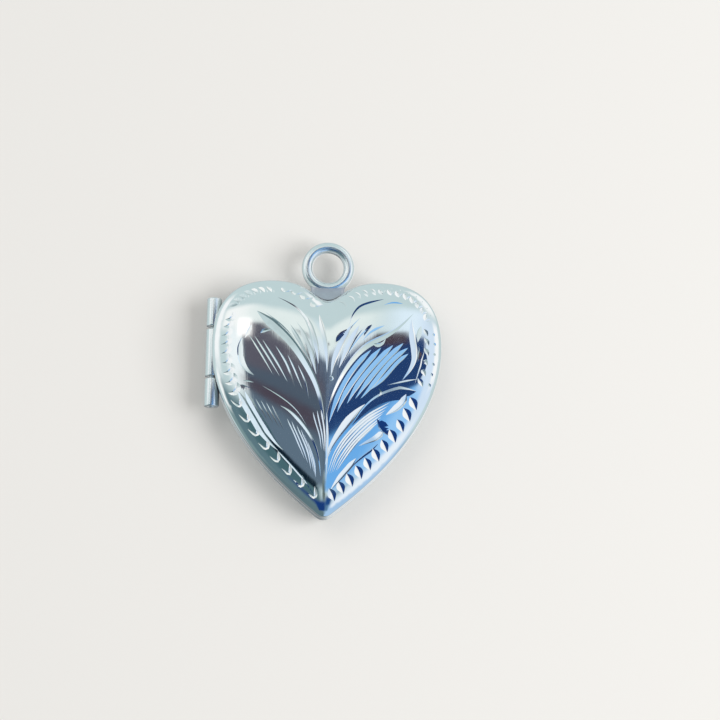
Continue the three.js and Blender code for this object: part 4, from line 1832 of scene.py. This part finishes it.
@dataclass
class Hinge:
    """Three rolled knuckles on a riveted pin.

    Attributes:
        line: Where the hinge runs.
        outer: Radius of the knuckles.
        bore: Radius of their holes.
        pin: Radius of the pin.
        stand: Height of the pin's domed heads.
        point: Radius at the top of a head.
        lengths: Lengths of the knuckles from the top down.
        gaps: Gaps under them.
        bodies: The CAD bodies they move with.
        names: Their names.
        round_over: Radius of their rounded ends.
        case_side_shade: Painted shade in the middle of a knuckle, which grows towards the case.
        crease: Angle in degrees from which a knuckle's edge stays sharp, then the same of the pin.
        head_count: Points up a head of the pin.
        pin_count: Faces round the pin.
    """

    line: HingeLine
    outer: float = 0.65
    bore: float = 0.28
    pin: float = 0.25
    stand: float = 0.07
    point: float = 0.002
    lengths: Triple = (2.5, 4.2, 2.46)
    gaps: Triple = (0.28, 0.2, 0.0)
    bodies: tuple[str, ...] = ("back_half", "front_half", "back_half")
    names: tuple[str, ...] = ("top", "middle", "bottom")
    round_over: float = 0.09
    case_side_shade: float = 0.1
    crease: Point = (40.0, 60.0)
    head_count: int = 7
    pin_count: int = 40

    def build(self, finishes: Finishes) -> None:
        """Makes the knuckles from the top down, and the pin.

        Args:
            finishes: The materials.
        """
        top = self.line.top
        for name, length, gap, body in zip(self.names, self.lengths, self.gaps, self.bodies):
            low = top - length
            corners = [(self.bore, low), (self.outer, low), (self.outer, top), (self.bore, top)]
            section = rounded(corners, self.round_over, steps=5)
            made = turned(f"knuckle_{name}_detail", section, self.line.x).to_object(self.crease[0])
            # Painted shade: the "cut" mark rises across each knuckle towards the case, so the tarnish
            # colour shades the side that the case would shade.
            across = point_places(made.data)[:, 0] / MM - self.line.x
            mark_points(made.data, "cut", np.clip(across / self.outer + self.case_side_shade, 0, 1))
            dress(made, body, finishes.worn, f"knuckle_{name}")
            top = low - gap
        self.build_pin(finishes)

    def build_pin(self, finishes: Finishes) -> None:
        """Makes the pin with a domed head at each end.

        Args:
            finishes: The materials.
        """
        turns = np.linspace(0, math.pi / 2, self.head_count)
        dome = [(max(self.pin * math.sin(turn), self.point), self.stand * math.cos(turn)) for turn in turns]
        profile = [(radius, self.line.top + rise) for radius, rise in dome]
        profile += [(radius, self.line.bottom - rise) for radius, rise in dome[::-1]]
        made = turned("hinge_pin_detail", profile, self.line.x, self.pin_count).to_object(self.crease[1])
        dress(made, "back_half", finishes.satin, "hinge_pin")


@dataclass
class Bail:
    """The round ring and the solder foot that carries it on the cleft.

    Attributes:
        heart: The outline that the foot is soldered to.
        ring_radius: Radius of the ring to the middle of its wire.
        wire: Radius of the wire.
        ring_counts: Points round the ring and round its wire.
        ring_crease: Angle in degrees from which the ring's edges stay sharp.
        foot_half_width: Half the foot's width at shares of the way down.
        foot_half_depth: Half its depth likewise.
        foot_top: Height of its top.
        foot_gap: Gap between it and the outline.
        foot_counts: Rings down the foot and points round it.
        foot_square: How square the foot is, from 1 for an oval to 0 for a box.
        foot_crease: Angle in degrees from which the foot's edges stay sharp.
    """

    heart: HeartShape
    ring_radius: float = 1.84
    wire: float = 0.48
    ring_counts: tuple[int, int] = (128, 48)
    ring_crease: float = 60.0
    foot_half_width: tuple[Point, ...] = ((0.0, 1.6), (0.35, 1.48), (0.7, 1.48), (1.0, 1.5))
    foot_half_depth: tuple[Point, ...] = ((0.0, 0.42), (0.24, 0.47), (0.45, 0.5), (0.73, 0.62), (1.0, 0.78))
    foot_top: float = -1.66
    foot_gap: float = 0.12
    foot_counts: tuple[int, int] = (14, 64)
    foot_square: float = 0.8
    foot_crease: float = 50.0

    def build(self, finishes: Finishes) -> None:
        """Makes the ring and the foot.

        Args:
            finishes: The materials.
        """
        ring = self.ring_surface().to_object(self.ring_crease)
        dress(ring, "back_half", finishes.worn, "bail_ring")
        foot = self.foot_surface().to_object(self.foot_crease)
        dress(foot, "back_half", finishes.solder, "bail_foot")

    def ring_surface(self) -> Surface:
        """A round wire bent into a ring.

        Returns:
            The closed surface.
        """
        surface = Surface("bail_ring_detail")
        angle = round_angles(self.ring_counts[1])
        radius = self.ring_radius + self.wire * np.cos(angle)
        rings = [
            np.stack([radius * math.cos(turn), self.wire * np.sin(angle), radius * math.sin(turn)], axis=1)
            for turn in round_angles(self.ring_counts[0])
        ]
        surface.loft(rings, closed=True)
        return surface

    def foot_surface(self) -> Surface:
        """A saddle of solder that leaves the ring and spreads along the heart's shoulders.

        Returns:
            The closed surface.
        """
        surface = Surface("bail_foot_detail")
        shoulder = self.heart.half(0)[: self.heart.curve_steps]
        angle = round_angles(self.foot_counts[1])
        across = np.sign(np.cos(angle)) * np.abs(np.cos(angle)) ** self.foot_square
        deep = np.sign(np.sin(angle)) * np.abs(np.sin(angle)) ** self.foot_square
        rings = []
        for share in np.linspace(0, 1, self.foot_counts[0]):
            x = np.interp(share, *zip(*self.foot_half_width)) * across
            y = np.interp(share, *zip(*self.foot_half_depth)) * deep
            low = np.interp(np.abs(x), *shoulder.T) + self.foot_gap
            z = self.foot_top + share * (low - self.foot_top)
            rings.append(np.stack([x, y, z], axis=1))
        numbers = surface.loft(rings)
        surface.fan(numbers[0], (0, 0, self.foot_top))
        surface.fan(numbers[-1], (0, 0, self.heart.cleft_z + self.foot_gap), flip=True)
        return surface


# Studio


@dataclass(frozen=True)
class Card:
    """A soft-edged card round the locket that only polished metal shows.

    Attributes:
        across: Direction of its middle, in degrees to the right of the front.
        up: Direction of its middle, in degrees above level.
        width: Half its width in degrees.
        height: Half its height in degrees.
        colour: Its colour, where 1 is white.
        soft: Softness of its edges as a share of its size.
        turn: Turn of the card in degrees.
    """

    across: float
    up: float
    width: float
    height: float
    colour: Triple
    soft: float = 0.2
    turn: float = 0.0


SILVER_RETURNS = 0.92


def shown(red: int, green: int, blue: int) -> Triple:
    """The light that polished silver shows on screen as a colour.

    Args:
        red: Red as displayed, from 0 to 255.
        green: Green as displayed.
        blue: Blue as displayed.

    Returns:
        The linear colour of the light.
    """
    full, offset, power = 255, 0.055, 2.4
    light = [((value / full + offset) / (1 + offset)) ** power for value in (red, green, blue)]
    return tuple(value / SILVER_RETURNS for value in light)


ROOM = shown(190, 211, 215)
CARDS = (
    Card(0, -62, 400, 36, shown(92, 116, 124), soft=0.2),
    Card(75, -58, 68, 34, shown(160, 196, 232), soft=0.2),
    Card(6, -30, 16, 12, shown(84, 122, 158), soft=0.5),
    Card(-61, 26, 13, 22, shown(244, 249, 252), soft=0.4),
    Card(-70, -22, 20, 10, shown(120, 146, 150), soft=0.5),
    Card(-69, -6, 10, 8, shown(240, 247, 249), soft=0.4),
    Card(-36, -18, 26, 16, shown(92, 120, 130), soft=0.3),
    Card(-26, -12, 10, 8, shown(70, 103, 112), soft=0.5),
    Card(-25, 11, 7.5, 9, shown(236, 246, 250), soft=0.5),
    Card(-28, 25, 16, 6, shown(244, 249, 250), soft=0.4),
    Card(66, 48, 20, 16, shown(244, 249, 252), soft=0.4),
    Card(-4, 25, 14, 5, shown(226, 238, 238), soft=0.6),
    Card(26, 23, 13, 8, shown(220, 239, 252), soft=0.5),
    Card(-13, -31, 18, 10, shown(24, 58, 120), soft=0.3),
    Card(15, -21, 9, 5, shown(30, 72, 132), soft=0.5),
    Card(52, -2, 22, 28, shown(208, 227, 247), soft=0.3),
    Card(46, -22, 14, 10, shown(230, 241, 252), soft=0.5),
    Card(64, 12, 12, 13, shown(246, 250, 253), soft=0.3),
    Card(-8.7, 7, 10.8, 11, shown(76, 90, 106), soft=0.09),
    Card(-11, -3, 11, 7, shown(92, 112, 130), soft=0.4),
    Card(-8.7, 15.7, 9.6, 5.4, shown(88, 88, 101), soft=0.1),
    Card(-10, 6, 10, 1.4, shown(74, 66, 78), soft=0.6),
    Card(0.5, -13, 3.5, 7, shown(96, 112, 112), soft=0.5),
    Card(-18, -9, 4.5, 2.6, shown(10, 28, 42), soft=0.35, turn=-25),
    Card(-19, 19.5, 4, 3.2, (1.3, 1.3, 1.3), soft=0.4),
    Card(17, -2, 14, 10, shown(106, 172, 234), soft=0.25),
    Card(29, -6, 9, 9, shown(146, 198, 246), soft=0.5),
    Card(17.5, 11, 15.5, 6.5, shown(34, 62, 110), soft=0.12),
    Card(12, 17, 9, 1.8, shown(70, 60, 70), soft=0.4),
    Card(-4.0, 19.4, 5.2, 2.8, shown(222, 236, 236), soft=0.3, turn=-41),
    Card(4.6, 18.2, 4.2, 2.6, shown(214, 230, 240), soft=0.3, turn=36),
    Card(180, 0, 60, 50, (0.48, 0.52, 0.53), soft=0.5),
    Card(150, 10, 22, 30, (0.92, 0.95, 0.97), soft=0.5),
    Card(205, -20, 25, 18, (0.16, 0.18, 0.20), soft=0.5),
)


def hide_from(made: bpy.types.Object, *rays: str) -> None:
    """Makes an object unseen by some kinds of rays."""
    for kind in rays:
        setattr(made, f"visible_{kind}", False)


@dataclass(frozen=True)
class Lamp:
    """A soft square lamp that points at the locket.

    Attributes:
        name: Name of the lamp.
        place: Where it hangs, in metres.
        size: Length of its side, in metres.
        power: Its power in watts.
    """

    name: str
    place: Triple
    size: float
    power: float

    def hang(self, target: Vector) -> None:
        """Puts the lamp in the scene, out of sight of polished and clear surfaces.

        Args:
            target: Where it points.
        """
        light = bpy.data.lights.new(self.name, "AREA")
        light.size = self.size
        light.energy = self.power
        lamp = put_in_scene(self.name, light)
        lamp.location = Vector(self.place)
        lamp.rotation_mode = "QUATERNION"
        lamp.rotation_quaternion = (target - lamp.location).to_track_quat("-Z", "Y")
        hide_from(lamp, "glossy", "transmission")


KEY = Lamp("key", (0.34, -0.30, -0.06), size=0.30, power=1.5)
FILL = Lamp("fill", (-0.25, -0.42, 0.22), size=0.40, power=0.5)


@dataclass
class Studio:
    """A pale surface under the locket, a plain bright room, lamps and reflection cards.

    Attributes:
        centre: Middle of the locket, in metres.
        floor_y: How far behind the meeting plane the floor lies, in metres.
        floor_size: Length of its side, in metres.
        floor_colour: Its colour.
        floor_roughness: Its roughness.
        floor_specular: How glossy it is.
        tent_radius: Distance of the cards, in metres.
        room_level: Strength of the room's light.
        world_level: Strength at which the background shows.
        world_colour: Colour of both.
    """

    centre: Triple = (0.0, 0.0, -0.0105)
    floor_y: float = 0.00196
    floor_size: float = 1.2
    floor_colour: Colour = (0.80, 0.79, 0.77, 1)
    floor_roughness: float = 0.9
    floor_specular: float = 0.1
    tent_radius: float = 0.6
    room_level: float = 0.55
    world_level: float = 0.84
    world_colour: Colour = (1.0, 0.99, 0.965, 1)

    def build(self) -> None:
        """Makes the stage and the lights."""
        self.build_world()
        self.build_floor()
        self.build_tent()
        for lamp in (KEY, FILL):
            lamp.hang(Vector(self.centre))

    def build_world(self) -> None:
        """Lights everything evenly from all round."""
        world = bpy.data.worlds.new("Room")
        bpy.context.scene.world = world
        world.use_nodes = True
        background = world.node_tree.nodes["Background"]
        background.inputs["Color"].default_value = self.world_colour
        nodes = Nodes(world.node_tree)
        path = nodes.add("ShaderNodeLightPath")
        seen = nodes.math("MAXIMUM", path.outputs["Is Camera Ray"], path.outputs["Is Glossy Ray"])
        seen = nodes.math("MAXIMUM", seen, path.outputs["Is Transmission Ray"])
        level = nodes.math("MULTIPLY", seen, self.world_level - self.room_level)
        nodes.join(nodes.math("ADD", level, self.room_level), background.inputs["Strength"])

    def build_floor(self) -> None:
        """Lays the pale surface that the locket's back rests on, open when seen from behind."""
        half = self.floor_size / 2
        corners = [(x * half, self.floor_y, z * half) for x, z in ((-1, -1), (1, -1), (1, 1), (-1, 1))]
        mesh = bpy.data.meshes.new("floor")
        mesh.from_pydata(corners, [], [(0, 1, 2, 3)])
        floor = put_in_scene("floor", mesh)
        made, nodes, shader = new_material("PaleBoard")
        set_inputs(
            shader,
            {
                "Base Color": self.floor_colour,
                "Roughness": self.floor_roughness,
                "Specular IOR Level": self.floor_specular,
            },
        )
        behind = nodes.add("ShaderNodeNewGeometry").outputs["Backfacing"]
        open_back = nodes.add("ShaderNodeBsdfTransparent").outputs[0]
        choose = nodes.add("ShaderNodeMixShader")
        for source, target in zip((behind, shader.outputs[0], open_back), choose.inputs):
            nodes.join(source, target)
        nodes.join(choose.outputs[0], made.node_tree.nodes["Material Output"].inputs["Surface"])
        cover_with(floor, made)
        hide_from(floor, "diffuse", "glossy", "transmission", "shadow")

    def build_tent(self) -> None:
        """Puts the reflection cards round the locket, unseen except in its metal."""
        bpy.ops.mesh.primitive_uv_sphere_add(
            segments=48, ring_count=24, radius=self.tent_radius, location=self.centre
        )
        tent = bpy.context.object
        tent.name = "reflection_cards"
        made, nodes, _ = new_material("ReflectionCards")
        made.cycles.emission_sampling = "NONE"
        made.node_tree.nodes.clear()
        place = nodes.add("ShaderNodeSeparateXYZ")
        nodes.join(nodes.object_place(), place.inputs[0])
        towards = nodes.math("MULTIPLY", place.outputs["Y"], -1.0)
        across = nodes.math("ARCTAN2", place.outputs["X"], towards)
        up = nodes.math("ARCSINE", nodes.math("DIVIDE", place.outputs["Z"], self.tent_radius))
        colour = (*ROOM, 1)
        for card in CARDS:
            colour = nodes.mix(self.card_mask(nodes, across, up, card), colour, (*card.colour, 1))
        light = nodes.add("ShaderNodeEmission", strength=1.0)
        nodes.join(colour, light.inputs["Color"])
        leave = nodes.add("ShaderNodeOutputMaterial")
        nodes.join(light.outputs[0], leave.inputs["Surface"])
        cover_with(tent, made)
        hide_from(tent, "camera", "diffuse", "transmission", "shadow")

    def card_mask(self, nodes: Nodes, across: Socket, up: Socket, card: Card) -> Socket:
        """Where one card shows.

        Args:
            nodes: The material's nodes.
            across: Direction round the locket, in radians.
            up: Direction above level, in radians.
            card: The card.

        Returns:
            1 on the card, 0 off it and between at its soft edges.
        """
        shift = nodes.math("SUBTRACT", across, math.radians(card.across))
        shift = nodes.math("WRAP", shift, math.pi, -math.pi)
        rise = nodes.math("SUBTRACT", up, math.radians(card.up))
        cos, sin = math.cos(math.radians(card.turn)), math.sin(math.radians(card.turn))
        masks = []
        for first, second, half in ((cos, sin, card.width), (-sin, cos, card.height)):
            shifted, raised = nodes.math("MULTIPLY", shift, first), nodes.math("MULTIPLY", rise, second)
            away = nodes.math("ABSOLUTE", nodes.math("ADD", shifted, raised))
            edge = nodes.add("ShaderNodeMapRange", interpolation_type="SMOOTHSTEP")
            low, high = 1 - card.soft, 1 + card.soft
            set_inputs(edge, {"From Min": low, "From Max": high, "To Min": 1.0, "To Max": 0.0})
            nodes.join(nodes.math("DIVIDE", away, math.radians(half)), edge.inputs["Value"])
            masks.append(edge.outputs["Result"])
        return nodes.math("MULTIPLY", *masks)


@dataclass
class Photographer:
    """The camera, a little left of and below square to the locket, turned by a degree.

    Attributes:
        target: The place on the locket that it is set by, in mm.
        left: How far it stands to the left of square, in degrees.
        below: How far it stands below square, in degrees.
        roll: Its turn about the line of sight, in degrees.
        distance: Its distance from the target, in mm.
        per_mm: Pixels to a mm at the target.
        target_pixel: Where the target falls in the picture.
        picture: Width of the picture in pixels.
        sensor: Width of the sensor in mm.
        nearest: Nearest distance that it sees, in metres.
    """

    target: Triple = (0.0, 0.0, -10.5)
    left: float = SEEN_FROM_LEFT
    below: float = SEEN_FROM_BELOW
    roll: float = 1.1
    distance: float = 200.0
    per_mm: float = 11.48
    target_pixel: Point = (325.9, 384.6)
    picture: float = 720.0
    sensor: float = 36.0
    nearest: float = 0.01

    def build(self) -> None:
        """Sets the camera so that the target falls on its own pixel."""
        turn, lean, roll = (math.radians(angle) for angle in (self.left, self.below, self.roll))
        look = Vector((math.sin(turn) * math.cos(lean), math.cos(turn) * math.cos(lean), math.sin(lean)))
        right = look.cross(Vector((0, 0, 1))).normalized()
        up = right.cross(look)
        across = right * math.cos(roll) + up * math.sin(roll)
        upwards = up * math.cos(roll) - right * math.sin(roll)
        target = Vector(self.target)
        place = target - look * self.distance
        aim = target + across * ((self.picture / 2 - self.target_pixel[0]) / self.per_mm)
        aim += upwards * ((self.target_pixel[1] - self.picture / 2) / self.per_mm)
        ahead = (aim - place).normalized()
        across = (across - ahead * across.dot(ahead)).normalized()
        upwards = across.cross(ahead)
        axes = Matrix((across, upwards, -ahead)).transposed().to_4x4()
        data = bpy.data.cameras.new("camera")
        data.sensor_width = self.sensor
        data.lens = self.sensor * self.per_mm * self.distance / self.picture
        data.clip_start = self.nearest
        camera = put_in_scene("camera", data)
        camera.matrix_world = Matrix.Translation(place * MM) @ axes
        bpy.context.scene.camera = camera


def main() -> None:
    """Builds the whole scene in order."""
    logging.basicConfig(level=logging.INFO, format="%(message)s")
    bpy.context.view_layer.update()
    bpy.context.scene.view_settings.view_transform = "Standard"
    heart = HeartShape()
    line = HingeLine()
    finishes = Finishes()
    builders: list[tuple[str, Callable[[], None]]] = [
        ("camera", Photographer().build),
        ("studio", Studio().build),
        ("case", lambda: CaseHalves(heart, line).build(finishes)),
        ("hinge", lambda: Hinge(line).build(finishes)),
        ("bail", lambda: Bail(heart).build(finishes)),
    ]
    for name, build in builders:
        build()
        LOG.info("built the %s", name)


if __name__ == "__main__":
    main()
